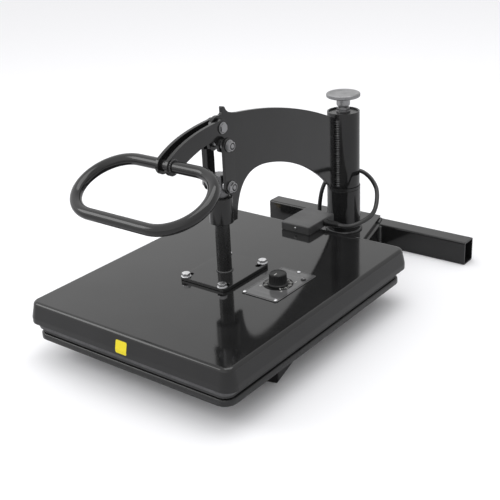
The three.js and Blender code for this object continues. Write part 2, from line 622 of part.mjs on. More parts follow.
const route = (points) =>
  new THREE.CatmullRomCurve3(points.map((point) => new THREE.Vector3(...point)), false, 'centripetal');

// From the strain relief round the right of the post to the clip behind it.
const LOOP_ROUTE = [
  [62.6, 266, 113.8], [72, 266, 113.8], [86, 270, 115.5], [97, 285, 119], [103, 307, 123.5], [101, 331, 129],
  [94, 352, 142], [82, 371, 156], [62, 389, 165], [38, 406, 169], [16, 420, 167.5], [2.3, 425, 164.5],
];
// From the clip down the left of the post to the anchor on the leg.
const DROP_ROUTE = [
  [-18.3, 425, 159], [-34, 422, 155], [-48, 416, 148], [-58, 410, 137], [-64, 404, 119],
  [-67.5, 401, 97], [-69, 400, 76], [-69, 400, 58.6],
];
// From the anchor to the bench and into the coil.
const LEAD_ROUTE = [
  [-69, 400, 39.4], [-69.6, 400, 33], [-73, 399, 20], [-81, 396.5, 10.5], [-92, 393, 5.6], [-104, 389, 4.5],
  [-115, 387, 4.5],
];

// A block on the left leg's outer wall that the cord passes down through.
function cordAnchor() {
  const block = box(20, 16, 18, -TUBE.width / 2 - GAP - 10, -58.5, 49);
  return toLeg(block, -1);
}

function plug() {
  const [x, y, z] = [COIL.x - 35, COIL.y + 54, 14];
  const turn = (geometry) => geometry.rotateZ(-Math.PI / 2).translate(x, y, z);
  const relief = turn(new THREE.CylinderGeometry(5, 7, 26, 20).translate(0, -13, 0));
  const body = slab(roundedRect(19, 14, 5), -13, 26).translate(x - 44, y, z);
  const prongs = [-6.5, 6.5].map((side) => box(18, 1.6, 6.5, x - 71, y + side, z + 3));
  const earth = crossRod(2.4, x - 82, x - 60, y, z - 7, 12);
  return join(relief, body, ...prongs, earth);
}

function buildCord() {
  add('cord_clip', join(
    crossRod(CORD_RADIUS + 2.2, -16.5, 0.5, 425, CLIP_Z, 20),
    box(10, 9, 14, -8, 420.6, CLIP_Z),
  ), 'black_plastic');
  add('cord_loop', tube(route(LOOP_ROUTE), CORD_RADIUS, 30, 8), 'cord');
  add('cord_drop', tube(route(DROP_ROUTE), CORD_RADIUS, 16, 8), 'cord');
  add('cord_anchor', cordAnchor(), 'black_plastic');
  add('cord_lead', tube(route(LEAD_ROUTE), CORD_RADIUS, 9, 8), 'cord');
  add('cord_coil', ring(COIL.inner, COIL.outer, GAP, COIL.height, COIL.x, COIL.y, 36), 'cord');
  add('plug', plug(), 'black_plastic');
}

buildBase();
buildLiftCollar();
buildArm();
buildPressureScrew();
buildToggle();
buildHead();
buildControls();
buildJunctionBox();
buildCord();

// The origin goes to the bench, under the middle of the press.
const rearMost = CROSS_TUBE.front + TUBE.width;
const frontMost = -(COVER.halfY + COVER.flare);
press.position.y = -(rearMost + frontMost) / 2;

export default press;
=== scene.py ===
"""Swing-away heat press: the look of each piece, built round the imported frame."""

import json
import math

import bmesh
import bpy
from mathutils import Matrix, Vector

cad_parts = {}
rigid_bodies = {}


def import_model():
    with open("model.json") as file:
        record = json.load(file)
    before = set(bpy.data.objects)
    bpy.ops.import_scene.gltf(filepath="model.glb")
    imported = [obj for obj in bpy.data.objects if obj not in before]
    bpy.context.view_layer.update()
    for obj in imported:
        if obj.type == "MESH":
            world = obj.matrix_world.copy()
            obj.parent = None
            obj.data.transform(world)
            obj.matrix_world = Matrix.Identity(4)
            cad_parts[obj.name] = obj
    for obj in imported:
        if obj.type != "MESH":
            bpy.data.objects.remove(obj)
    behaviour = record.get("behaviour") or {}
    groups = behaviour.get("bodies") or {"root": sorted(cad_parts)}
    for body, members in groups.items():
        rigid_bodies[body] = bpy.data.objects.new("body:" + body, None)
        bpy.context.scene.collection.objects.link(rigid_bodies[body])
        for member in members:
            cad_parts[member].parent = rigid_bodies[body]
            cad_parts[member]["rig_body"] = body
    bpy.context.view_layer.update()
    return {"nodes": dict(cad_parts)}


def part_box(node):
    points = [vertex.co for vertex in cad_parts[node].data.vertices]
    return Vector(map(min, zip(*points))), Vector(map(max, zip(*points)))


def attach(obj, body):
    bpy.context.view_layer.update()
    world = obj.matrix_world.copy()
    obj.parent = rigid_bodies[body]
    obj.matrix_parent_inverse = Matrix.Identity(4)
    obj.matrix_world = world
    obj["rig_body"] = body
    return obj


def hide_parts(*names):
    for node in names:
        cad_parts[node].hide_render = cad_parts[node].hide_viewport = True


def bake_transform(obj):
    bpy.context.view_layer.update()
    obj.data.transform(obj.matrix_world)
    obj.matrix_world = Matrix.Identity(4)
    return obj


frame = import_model()

# ---------------------------------------------------------------- the working frame
# Shapes are drawn in millimetres, with the platen's middle at X = Y = 0 and the bench at Z = 0.
MM = 0.001
PLATEN_LOW, PLATEN_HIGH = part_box("heat_platen")
PLATEN_Y = (PLATEN_LOW.y + PLATEN_HIGH.y) / 2


def placed(point):
    """A point in the working frame, in the row's frame in metres."""
    return Vector((point[0] * MM, point[1] * MM + PLATEN_Y, point[2] * MM))


def extent(node):
    """The lowest and highest corner of a CAD node, in the working frame."""
    return [Vector((c.x / MM, (c.y - PLATEN_Y) / MM, c.z / MM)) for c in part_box(node)]


def middle(node):
    low, high = extent(node)
    return (low + high) / 2


COVER_LOW, COVER_HIGH = extent("platen_cover")
COVER_TOP = COVER_HIGH.z
POST_Y = middle("spindle").y
SLEEVE_LOW, SLEEVE_HIGH = extent("arm_sleeve")
PIVOT_Z = middle("pivot_bolt").z
HEEL_Z = middle("heel_pin").z
SHAFT_PIN_Z = middle("shaft_pin").z
SHAFT_LOW, SHAFT_HIGH = extent("shaft")
SHAFT_RADIUS = SHAFT_HIGH.x
BARREL_LOW, BARREL_HIGH = extent("guide_barrel")
PLATE_LOW, PLATE_HIGH = extent("mounting_plate")
PANEL_LOW, PANEL_HIGH = extent("control_panel")
DIAL = middle("dial_knob")
CLEARANCE = 0.3


# ---------------------------------------------------------------- lines and outlines
def arc(centre, radius, start, stop, steps=16):
    """Points of an arc in a plane, with the angles in radians."""
    turns = [start + (stop - start) * i / steps for i in range(steps + 1)]
    return [(centre[0] + radius * math.cos(t), centre[1] + radius * math.sin(t)) for t in turns]


def curve_between(*controls, steps=16):
    """A Bezier curve of any degree through its first and last control point, without the first."""
    points = []
    degree = len(controls) - 1
    for i in range(1, steps + 1):
        t = i / steps
        weights = [math.comb(degree, k) * t**k * (1 - t) ** (degree - k) for k in range(degree + 1)]
        points.append(tuple(sum(w * c[axis] for w, c in zip(weights, controls)) for axis in (0, 1)))
    return points


def rounded_rectangle(half_x, half_y, corner, steps=8, centre=(0, 0)):
    points = []
    for quarter, (sx, sy) in enumerate([(1, 1), (-1, 1), (-1, -1), (1, -1)]):
        middle_of_arc = (centre[0] + sx * (half_x - corner), centre[1] + sy * (half_y - corner))
        start = quarter * math.pi / 2
        points += arc(middle_of_arc, corner, start, start + math.pi / 2, steps)
    return points


def smooth_route(points, steps=6):
    """A centripetal Catmull-Rom line through the points."""
    points = [Vector(p) for p in points]
    ends = [2 * points[0] - points[1], *points, 2 * points[-1] - points[-2]]
    line = [points[0]]
    for before, here, there, after in zip(ends, ends[1:], ends[2:], ends[3:]):
        spans = [math.sqrt((b - a).length) for a, b in ((before, here), (here, there), (there, after))]
        leaving = (here - before) / spans[0] - (there - before) / (spans[0] + spans[1])
        leaving = (leaving + (there - here) / spans[1]) * spans[1]
        arriving = (there - here) / spans[1] - (after - here) / (spans[1] + spans[2])
        arriving = (arriving + (after - there) / spans[2]) * spans[1]
        for i in range(1, steps + 1):
            t = i / steps
            line.append(
                here * (2 * t**3 - 3 * t**2 + 1)
                + leaving * (t**3 - 2 * t**2 + t)
                + there * (3 * t**2 - 2 * t**3)
                + arriving * (t**3 - t**2)
            )
    return line


# ---------------------------------------------------------------- shapes: (points, faces)
def joined(*shapes):
    points, faces = [], []
    for more_points, more_faces in shapes:
        start = len(points)
        points += more_points
        faces += [[start + i for i in face] for face in more_faces]
    return points, faces


def moved(shape, offset):
    return [Vector(p) + Vector(offset) for p in shape[0]], shape[1]


def turned_to_x(shape, centre, side=1):
    """A shape drawn along +Z from the origin, turned to point along X, with its base at centre."""
    return [Vector((centre[0] + side * p[2], centre[1] + p[0], centre[2] + p[1])) for p in shape[0]], shape[1]


def loft(rings, loop=False):
    """A skin through rings of points, with a flat cap at each end unless the rings close into a loop."""
    count = len(rings[0])
    points = [Vector(p) for ring in rings for p in ring]
    faces = []
    for i in range(len(rings) if loop else len(rings) - 1):
        here, there = i * count, (i + 1) % len(rings) * count
        for j in range(count):
            k = (j + 1) % count
            faces.append([here + j, here + k, there + k, there + j])
    if not loop:
        faces.append(list(range(count)))
        faces.append([len(points) - count + j for j in range(count)])
    return points, faces


def lathe(profile, centre=(0, 0), sides=72, ripple=None):
    """A profile of (radius, height) turned about Z. It starts and ends on the axis, or it closes on itself.
    ripple(radius, height, turn) may change the radius round the axis."""
    x, y = centre
    points, rows = [], []
    for radius, height in profile:
        if radius == 0:
            rows.append([len(points)] * sides)
            points.append(Vector((x, y, height)))
            continue
        rows.append([len(points) + j for j in range(sides)])
        for j in range(sides):
            turn = 2 * math.pi * j / sides
            r = ripple(radius, height, turn) if ripple else radius
            points.append(Vector((x + r * math.cos(turn), y + r * math.sin(turn), height)))
    on_axis = profile[0][0] == 0
    pairs = list(zip(rows, rows[1:])) + ([] if on_axis else [(rows[-1], rows[0])])
    faces = []
    for low, high in pairs:
        for j in range(sides):
            k = (j + 1) % sides
            faces.append(list(dict.fromkeys([low[j], low[k], high[k], high[j]])))
    return points, faces


def collar(inner, outer, bottom, top, edge=0.6, centre=(0, 0), sides=72):
    """A turned ring with broken edges."""
    profile = [
        (inner, bottom + edge), (inner + edge, bottom), (outer - edge, bottom),
        (outer - 0.3 * edge, bottom + 0.3 * edge), (outer, bottom + edge), (outer, top - edge),
        (outer - 0.3 * edge, top - 0.3 * edge), (outer - edge, top), (inner + edge, top), (inner, top - edge),
    ]
    return lathe(profile, centre, sides)


def disc(radius, bottom, top, edge=0.5, centre=(0, 0), sides=64):
    profile = [
        (0, bottom), (radius - edge, bottom), (radius, bottom + edge),
        (radius, top - edge), (radius - edge, top), (0, top),
    ]
    return lathe(profile, centre, sides)


def sweep(line, radius, sides=20, loop=False):
    """A round tube along a line of points.
    radius is a number, or a function of the distance along the line."""
    line = [Vector(p) for p in line]
    count = len(line)
    far = 0.0
    across = None
    rings = []
    for i, point in enumerate(line):
        before = line[(i - 1) % count] if loop else line[max(i - 1, 0)]
        after = line[(i + 1) % count] if loop else line[min(i + 1, count - 1)]
        along = (after - before).normalized()
        if across is None:
            across = along.orthogonal().normalized()
        across = (across - along * across.dot(along)).normalized()
        up = along.cross(across)
        if i:
            far += (point - line[i - 1]).length
        r = radius(far) if callable(radius) else radius
        turns = [2 * math.pi * k / sides for k in range(sides)]
        rings.append([point + r * (math.cos(t) * across + math.sin(t) * up) for t in turns])
    return loft(rings, loop)


def slab(outline, low, high, edge=1.0, steps=3):
    """A flat block over one convex outline, with its upper and lower edges rounded."""
    centre_x = sum(p[0] for p in outline) / len(outline)
    centre_y = sum(p[1] for p in outline) / len(outline)
    reach_x = max(abs(p[0] - centre_x) for p in outline)
    reach_y = max(abs(p[1] - centre_y) for p in outline)
    rings = []
    turns = [i / steps * math.pi / 2 for i in range(steps + 1)]
    levels = [(1 - math.sin(t), low + edge * (1 - math.cos(t))) for t in turns]
    levels += [(1 - math.cos(t), high - edge * (1 - math.sin(t))) for t in turns]
    for inset, z in levels:
        sx, sy = 1 - inset * edge / reach_x, 1 - inset * edge / reach_y
        ring = [(centre_x + (x - centre_x) * sx, centre_y + (y - centre_y) * sy, z) for x, y in outline]
        rings.append(ring)
    return loft(rings)


def profile_cut(outlines, low, high, edge=0.5):
    """A plate cut to outlines, the later ones holes in the first, with broken edges.
    It lies between low and high along Z."""
    half = (high - low) / 2
    curve = bpy.data.curves.new("outline", "CURVE")
    curve.dimensions, curve.fill_mode = "2D", "BOTH"
    curve.extrude, curve.bevel_depth, curve.offset = half - edge, edge, -edge
    curve.bevel_resolution = 2
    for outline in outlines:
        spline = curve.splines.new("POLY")
        spline.points.add(len(outline) - 1)
        for point, (u, v) in zip(spline.points, outline):
            point.co = (u, v, 0, 1)
        spline.use_cyclic_u = True
    holder = bpy.data.objects.new("outline", curve)
    bpy.context.scene.collection.objects.link(holder)
    mesh = holder.to_mesh(depsgraph=bpy.context.evaluated_depsgraph_get())
    points = [Vector((v.co.x, v.co.y, v.co.z + low + half)) for v in mesh.vertices]
    faces = [list(face.vertices) for face in mesh.polygons]
    holder.to_mesh_clear()
    bpy.data.objects.remove(holder)
    bpy.data.curves.remove(curve)
    return points, faces


def stood_on_edge(shape):
    """A plate drawn in Y and Z, with its thickness along X."""
    return [Vector((p[2], p[0], p[1])) for p in shape[0]], shape[1]


def hex_head(across_flats, height, bottom=0.0):
    """A hexagon head or nut with its corners turned off at the top."""
    sides, flat = 48, across_flats / 2
    seat = 0.94 * flat
    low, shoulder, top = [], [], []
    for j in range(sides):
        turn = 2 * math.pi * j / sides
        reach = flat / math.cos((turn + math.pi / 6) % (math.pi / 3) - math.pi / 6)
        x, y = math.cos(turn), math.sin(turn)
        low.append((reach * x, reach * y, bottom))
        shoulder.append((reach * x, reach * y, bottom + height - (reach - seat) * math.tan(math.radians(28))))
        top.append((seat * x, seat * y, bottom + height))
    return loft([low, shoulder, top])


def washer(radius, thickness, bottom=0.0):
    return disc(radius, bottom, bottom + thickness, edge=0.25)


def weld_bead(line, radius=2.6, ripple=3.2, loop=False):
    """A bead of overlapping ripples along a line, uneven as if laid by hand."""
    def width(far):
        wave = 2 * math.pi * far / ripple
        swell = 1 + 0.22 * math.sin(wave) + 0.05 * math.sin(0.37 * wave) + 0.04 * math.sin(0.11 * wave)
        return radius * swell

    return sweep(line, width, 12, loop)


def straight(start, stop, step=0.8):
    start, stop = Vector(start), Vector(stop)
    count = max(2, round((stop - start).length / step))
    return [start.lerp(stop, i / count) for i in range(count + 1)]


def straight_bead(start, stop, radius, ripple=3.2):
    return weld_bead(straight(start, stop), radius, ripple)


def circle_line(centre, radius, axis="z", step=0.8):
    count = round(2 * math.pi * radius / step)
    turns = [2 * math.pi * i / count for i in range(count)]
    cx, cy, cz = centre
    if axis == "z":
        return [Vector((cx + radius * math.cos(t), cy + radius * math.sin(t), cz)) for t in turns]
    return [Vector((cx, cy + radius * math.cos(t), cz + radius * math.sin(t))) for t in turns]


# ---------------------------------------------------------------- node material helpers
def new_material(name, **constants):
    """A Principled material, with its constants set on the shader's own sockets."""
    material = bpy.data.materials.new(name)
    material.use_nodes = True
    shader = material.node_tree.nodes["Principled BSDF"]
    for socket, value in constants.items():
        shader.inputs[socket.replace("_", " ")].default_value = value
    return material, material.node_tree, shader.inputs


def add_node(tree, kind, settings=(), **inputs):
    node = tree.nodes.new(kind)
    for key, value in dict(settings).items():
        setattr(node, key, value)
    for key, value in inputs.items():
        socket = node.inputs[key.replace("_", " ")]
        if isinstance(value, bpy.types.NodeSocket):
            tree.links.new(value, socket)
        else:
            socket.default_value = value
    return node


def object_point(tree, stretch=(1, 1, 1)):
    place = add_node(tree, "ShaderNodeTexCoord").outputs["Object"]
    return add_node(tree, "ShaderNodeMapping", Vector=place, Scale=stretch).outputs["Vector"]


def noise(tree, scale, detail=3.0, roughness=0.5, stretch=(1, 1, 1)):
    inputs = {"Vector": object_point(tree, stretch), "Scale": scale, "Detail": detail, "Roughness": roughness}
    return add_node(tree, "ShaderNodeTexNoise", **inputs).outputs["Fac"]


def cell_pattern(tree, scale):
    node = add_node(tree, "ShaderNodeTexVoronoi", Vector=object_point(tree), Scale=scale)
    return node.outputs["Distance"]


def spread(tree, value, low, high, start=0.3, stop=0.7):
    """A noise value stretched to run from low to high."""
    inputs = {"Value": value, "From_Min": start, "From_Max": stop, "To_Min": low, "To_Max": high}
    return add_node(tree, "ShaderNodeMapRange", **inputs).outputs["Result"]


def tint(tree, value, dark, light, start=0.3, stop=0.7):
    ramp = add_node(tree, "ShaderNodeValToRGB", Fac=value)
    for element, place, colour in zip(ramp.color_ramp.elements, (start, stop), (dark, light)):
        element.position = place
        element.color = (*colour, 1)
    return ramp.outputs["Color"]


def mix_colours(tree, factor, first, second):
    node = add_node(tree, "ShaderNodeMix", {"data_type": "RGBA"})
    tree.links.new(factor, node.inputs["Factor"])
    tree.links.new(first, node.inputs[6])
    tree.links.new(second, node.inputs[7])
    return node.outputs[2]


def relief(tree, height, strength, distance):
    """A bump from a height value; distance is in metres."""
    node = add_node(tree, "ShaderNodeBump", Height=height, Strength=strength, Distance=distance)
    return node.outputs["Normal"]


def connect(tree, inputs, **sockets):
    for key, socket in sockets.items():
        tree.links.new(socket, inputs[key.replace("_", " ")])


def grey(value):
    return (value, value, value * 1.02)


def powder_coat(name, shade, rough, peel):
    """Black powder coat: faint mottling, a skin like orange peel, and handling marks in the gloss."""
    material, tree, inputs = new_material(name)
    colour = tint(tree, noise(tree, 14, 4), grey(shade * 0.8), grey(shade * 1.2))
    marks = spread(tree, noise(tree, 22, 6, 0.65), rough * 0.85, rough * 1.25)
    skin = relief(tree, noise(tree, 420, 2), peel, 0.0002)
    connect(tree, inputs, Base_Color=colour, Roughness=marks, Normal=skin)
    return material


def plated_metal(name, shade, rough, grain=900, stretch=(1, 1, 1), strength=0.15):
    """Plated or machined metal with fine tool marks and slightly uneven colour."""
    material, tree, inputs = new_material(name, Metallic=1.0)
    colour = tint(tree, noise(tree, 60, 4), grey(shade * 0.82), grey(shade * 1.08))
    lines = noise(tree, grain, 3, 0.6, stretch)
    connect(
        tree, inputs, Base_Color=colour,
        Roughness=spread(tree, lines, rough * 0.75, rough * 1.3),
        Normal=relief(tree, lines, strength, 0.0001),
    )
    return material


def coloured_metal(name, dark, light, rough):
    material, tree, inputs = new_material(name, Metallic=1.0)
    pores = noise(tree, 1400, 2)
    connect(
        tree, inputs, Base_Color=tint(tree, noise(tree, 90, 4), dark, light),
        Roughness=spread(tree, pores, rough * 0.8, rough * 1.25), Normal=relief(tree, pores, 0.2, 0.0001),
    )
    return material


def moulded_plastic(name, shade, rough, grain=1500, strength=0.25):
    material, tree, inputs = new_material(name, Specular_IOR_Level=0.3)
    texture = noise(tree, grain, 2)
    connect(
        tree, inputs, Base_Color=tint(tree, noise(tree, 40, 3), grey(shade * 0.8), grey(shade * 1.25)),
        Roughness=spread(tree, texture, rough * 0.85, rough * 1.15),
        Normal=relief(tree, texture, strength, 0.0001),
    )
    return material


def two_tone_shaft():
    """The ram shaft: near black and not metallic below the guide's top, grey metal above it."""
    material, tree, inputs = new_material("shaft_steel")
    height = add_node(tree, "ShaderNodeSeparateXYZ", Vector=object_point(tree)).outputs["Z"]
    above = spread(tree, height, 0.0, 1.0, BARREL_HIGH.z * MM - 0.014, BARREL_HIGH.z * MM - 0.010)
    grain = noise(tree, 300, 3, 0.6)
    dark_lower_tone = tint(tree, grain, grey(0.012), grey(0.016))
    grey_upper_tone = tint(tree, grain, grey(0.13), grey(0.18))
    connect(
        tree, inputs, Base_Color=mix_colours(tree, above, dark_lower_tone, grey_upper_tone), Metallic=above,
        Roughness=spread(tree, grain, 0.24, 0.32), Normal=relief(tree, grain, 0.02, 0.0001),
    )
    return material


def silicone_sponge():
    material, tree, inputs = new_material("silicone_sponge")
    cells = cell_pattern(tree, 900.0)
    connect(
        tree, inputs, Base_Color=tint(tree, noise(tree, 30, 5), grey(0.035), grey(0.055)),
        Roughness=spread(tree, noise(tree, 60, 4), 0.65, 0.85), Normal=relief(tree, cells, 0.25, 0.0003),
    )
    return material


def mineral_wool():
    material, tree, inputs = new_material("mineral_wool")
    fibres = noise(tree, 700, 8, 0.8, (1, 0.25, 1))
    colour = tint(tree, fibres, (0.45, 0.42, 0.33), (0.72, 0.7, 0.6))
    rough = spread(tree, fibres, 0.85, 1.0)
    connect(tree, inputs, Base_Color=colour, Roughness=rough, Normal=relief(tree, fibres, 0.8, 0.001))
    return material


def rubber_jacket():
    """A cord's jacket: even extruded rubber, with faint lengthwise marks."""
    material, tree, inputs = new_material("cord_jacket")
    grain = noise(tree, 800, 3)
    connect(
        tree, inputs, Base_Color=tint(tree, noise(tree, 25, 4), grey(0.012), grey(0.024)),
        Roughness=spread(tree, grain, 0.32, 0.5), Normal=relief(tree, grain, 0.12, 0.0002),
    )
    return material


def brushed_overlay():
    """The control panel's printed overlay, brushed along X."""
    material, tree, inputs = new_material("panel_overlay")
    lines = noise(tree, 500, 4, 0.7, (0.03, 1, 1))
    connect(
        tree, inputs, Base_Color=tint(tree, lines, grey(0.07), grey(0.11)),
        Roughness=spread(tree, lines, 0.07, 0.14), Normal=relief(tree, lines, 0.05, 0.0001),
    )
    return material


def printed_ink(name, colour, shine=0.5):
    material, tree, inputs = new_material(name, Specular_IOR_Level=shine)
    specks = noise(tree, 900, 3)
    darker = tuple(c * 0.88 for c in colour)
    shade = tint(tree, specks, darker, colour)
    connect(tree, inputs, Base_Color=shade, Roughness=spread(tree, specks, 0.4, 0.55))
    return material


def lamp_lens():
    material, tree, inputs = new_material("lamp_lens", Coat_Weight=0.6, Coat_Roughness=0.03)
    facets = cell_pattern(tree, 1100.0)
    connect(
        tree, inputs, Base_Color=tint(tree, facets, grey(0.05), grey(0.12), 0.0, 0.8),
        Roughness=spread(tree, facets, 0.1, 0.2), Normal=relief(tree, facets, 0.3, 0.0002),
    )
    return material


GLOSS = powder_coat("gloss_black_coat", 0.012, 0.1, 0.05)
MIRROR = powder_coat("cover_coat", 0.01, 0.075, 0.03)
SATIN = powder_coat("satin_black_coat", 0.014, 0.24, 0.12)
WELD = powder_coat("weld_coat", 0.05, 0.26, 0.6)
ZINC = plated_metal("zinc_plate", 0.36, 0.34)
STEEL = plated_metal("machined_steel", 0.42, 0.3, 500, (0.3, 0.3, 9))
# A lighter copy of the same zinc as zinc_plate: painted highlight for the upward-facing plate bolts and panel
# screws, whose tops catch the sky.
ZINC_PAINTED_HIGHLIGHT = plated_metal("zinc_painted_highlight", 0.72, 0.24)
ALUMINIUM = plated_metal("turned_aluminium", 0.36, 0.36, 700)
CASTING = plated_metal("cast_aluminium", 0.16, 0.5, 350, strength=0.5)
BRONZE = coloured_metal("sintered_bronze", (0.22, 0.12, 0.045), (0.42, 0.27, 0.11), 0.4)
BRASS = coloured_metal("plug_brass", (0.5, 0.36, 0.14), (0.72, 0.56, 0.26), 0.28)
PLASTIC = moulded_plastic("black_plastic", 0.009, 0.42)
BOX_PAINT = powder_coat("box_coat", 0.034, 0.34, 0.2)
SHAFT_STEEL = two_tone_shaft()
SPONGE = silicone_sponge()
WOOL = mineral_wool()
JACKET = rubber_jacket()
OVERLAY = brushed_overlay()
WHITE_INK = printed_ink("white_ink", (0.62, 0.62, 0.6))
BLACK_INK = printed_ink("black_ink", (0.008, 0.008, 0.008), 0.08)
YELLOW_VINYL = printed_ink("yellow_vinyl", (0.9, 0.74, 0.012))
LENS = lamp_lens()


# ---------------------------------------------------------------- making pieces
def smooth_shading(mesh, crease=32):
    mesh.polygons.foreach_set("use_smooth", [True] * len(mesh.polygons))
    mesh.set_sharp_from_angle(angle=math.radians(crease))


def weigh_normals(obj):
    """Flat faces stay flat where they meet a rounded edge."""
    modifier = obj.modifiers.new("weighted", "WEIGHTED_NORMAL")
    modifier.keep_sharp = True


def make_mesh(name, shape):
    mesh = bpy.data.meshes.new(name)
    mesh.from_pydata([placed(p) for p in shape[0]], [], shape[1])
    work = bmesh.new()
    work.from_mesh(mesh)
    bmesh.ops.remove_doubles(work, verts=work.verts, dist=0.002 * MM)
    bmesh.ops.recalc_face_normals(work, faces=work.faces)
    work.to_mesh(mesh)
    work.free()
    smooth_shading(mesh)
    return mesh


def body_of_node(node):
    return frame["nodes"][node]["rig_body"]


def piece(name, shape, material, body, stands_for=()):
    """A new piece that rides on a CAD body, and stands for the CAD nodes named."""
    obj = bpy.data.objects.new(name, make_mesh(name, shape))
    obj.data.materials.append(material)
    bpy.context.scene.collection.objects.link(obj)
    weigh_normals(obj)
    if body:
        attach(obj, body)
    if stands_for:
        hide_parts(*stands_for)
    return obj


def instead_of(node, shape, material, slot, *more_nodes):
    """A detailed piece in the place of a CAD node, on the same body."""
    return piece(f"{node}_detail", shape, material, body_of_node(node), (node, *more_nodes))


def dress(node, material, edge=0.4):
    """A CAD node that keeps its shape, with broken edges and a better material."""
    obj = frame["nodes"][node]
    obj.data.materials.clear()
    obj.data.materials.append(material)
    weld = obj.modifiers.new("weld", "WELD")
    weld.merge_threshold = 0.002 * MM
    smooth_shading(obj.data)
    if edge:
        bevel = obj.modifiers.new("edges", "BEVEL")
        bevel.width = edge * MM
        bevel.segments = 2
        bevel.limit_method = "ANGLE"
        bevel.angle_limit = math.radians(40)
    weigh_normals(obj)
    return obj


# ---------------------------------------------------------------- camera
CAMERA_PLACE = Vector((0.9493, -1.2495, 0.7877))
CAMERA_AZIMUTH = math.radians(38.13)
CAMERA_ELEVATION = math.radians(23.44)
CAMERA_ROLL = math.radians(-2.767)
CAMERA_LENS = 68.45


def make_camera():
    flat = math.cos(CAMERA_ELEVATION)
    level_x, level_y = math.sin(CAMERA_AZIMUTH), -math.cos(CAMERA_AZIMUTH)
    back = Vector((level_x * flat, level_y * flat, math.sin(CAMERA_ELEVATION)))
    right = Vector((math.cos(CAMERA_AZIMUTH), math.sin(CAMERA_AZIMUTH), 0))
    up = back.cross(right)
    tilt = Matrix((right, up, back)).transposed() @ Matrix.Rotation(CAMERA_ROLL, 3, "Z")
    data = bpy.data.cameras.new("camera")
    data.sensor_width = 36
    data.lens = CAMERA_LENS
    data.clip_end = 50
    camera = bpy.data.objects.new("camera", data)
    camera.matrix_world = Matrix.Translation(CAMERA_PLACE) @ tilt.to_4x4()
    bpy.context.scene.collection.objects.link(camera)
    bpy.context.scene.camera = camera


make_camera()

# ---------------------------------------------------------------- power cord
CORD_RADIUS = 4.2
LOOP_ROUTE = [
    (62.6, 266, 113.8), (72, 266, 113.8), (86, 270, 115.5), (97, 285, 119),
    (103, 307, 123.5), (101, 331, 129), (94, 352, 142), (82, 371, 156),
    (62, 389, 165), (38, 406, 169), (16, 420, 167.5), (2.3, 425, 164.5),
]
DROP_ROUTE = [
    (-18.3, 425, 159), (-34, 422, 155), (-48, 416, 148), (-58, 410, 137), (-64, 404, 119),
    (-67.5, 401, 97), (-69, 400, 76), (-69, 400, 58.6),
]
LEAD_ROUTE = [
    (-69, 400, 39.4), (-69.6, 400, 33), (-73, 399, 20), (-81, 396.5, 10.5), (-92, 393, 5.6), (-104, 389, 4.5),
    (-115, 387, 4.5),
]
COIL = middle("cord_coil")
COIL_OUTER = extent("cord_coil")[1].x - COIL.x
COIL_TURNS = 4
LAYER_Z = (4.5, 12.9)
CLIMB_START, CLIMB_TURNS = 1.85, 0.3
ANCHOR_GRIP = 8.0
PLUG_AXIS_Z = 14.0


def coil_route():
    """Two turns that spiral in on the bench, then two that spiral out on top of them.
    The line starts and ends at the coil's rear."""
    pitch, steps = 2 * CORD_RADIUS, 24
    start = COIL_OUTER - CORD_RADIUS - 0.2
    points = []
    for i in range(COIL_TURNS * steps + 1):
        turn = i / steps
        radius = start - pitch * min(turn, COIL_TURNS - turn)
        climb = min(max((turn - CLIMB_START) / CLIMB_TURNS, 0), 1)
        z = LAYER_Z[0] + (LAYER_Z[1] - LAYER_Z[0]) * climb * climb * (3 - 2 * climb)
        angle = math.pi / 2 + 2 * math.pi * turn
        points.append((COIL.x + radius * math.cos(angle), COIL.y + radius * math.sin(angle), z))
    return points


def cord_piece(name, line, stands_for):
    cord = piece(name, sweep(line, CORD_RADIUS, 20), JACKET, None, stands_for)
    cord.modifiers.clear()
    return cord


def declare_cord(line, with_pieces=()):
    path = [placed(p) for p in line]


def strain_relief():
    """A flange, then a tapered sleeve with flexing grooves, along X from the box's wall."""
    low, high = extent("strain_relief")
    length = high.x - low.x
    root, tip = 7.0, 5.2
    profile = [(0, 0), (7.6, 0), (8, 0.4), (8, 4.2), (7.6, 4.6), (root, 4.8)]
    grooves, first = 6, 6.5
    pitch = (length - first - 1.5) / grooves
    for i in range(grooves):
        z = first + i * pitch
        r = root + (tip - root) * (z / length)
        profile += [(r, z), (r - 0.1, z + 0.5 * pitch)]
        profile += [(r - 1.0, z + 0.6 * pitch), (r - 1.0, z + 0.9 * pitch)]
    profile += [(tip, length - 1.2), (tip - 0.4, length), (0, length)]
    centre = middle("strain_relief")
    shape = turned_to_x(lathe(profile, sides=48), (low.x, centre.y, centre.z))
    return instead_of("strain_relief", shape, PLASTIC, "black_plastic")


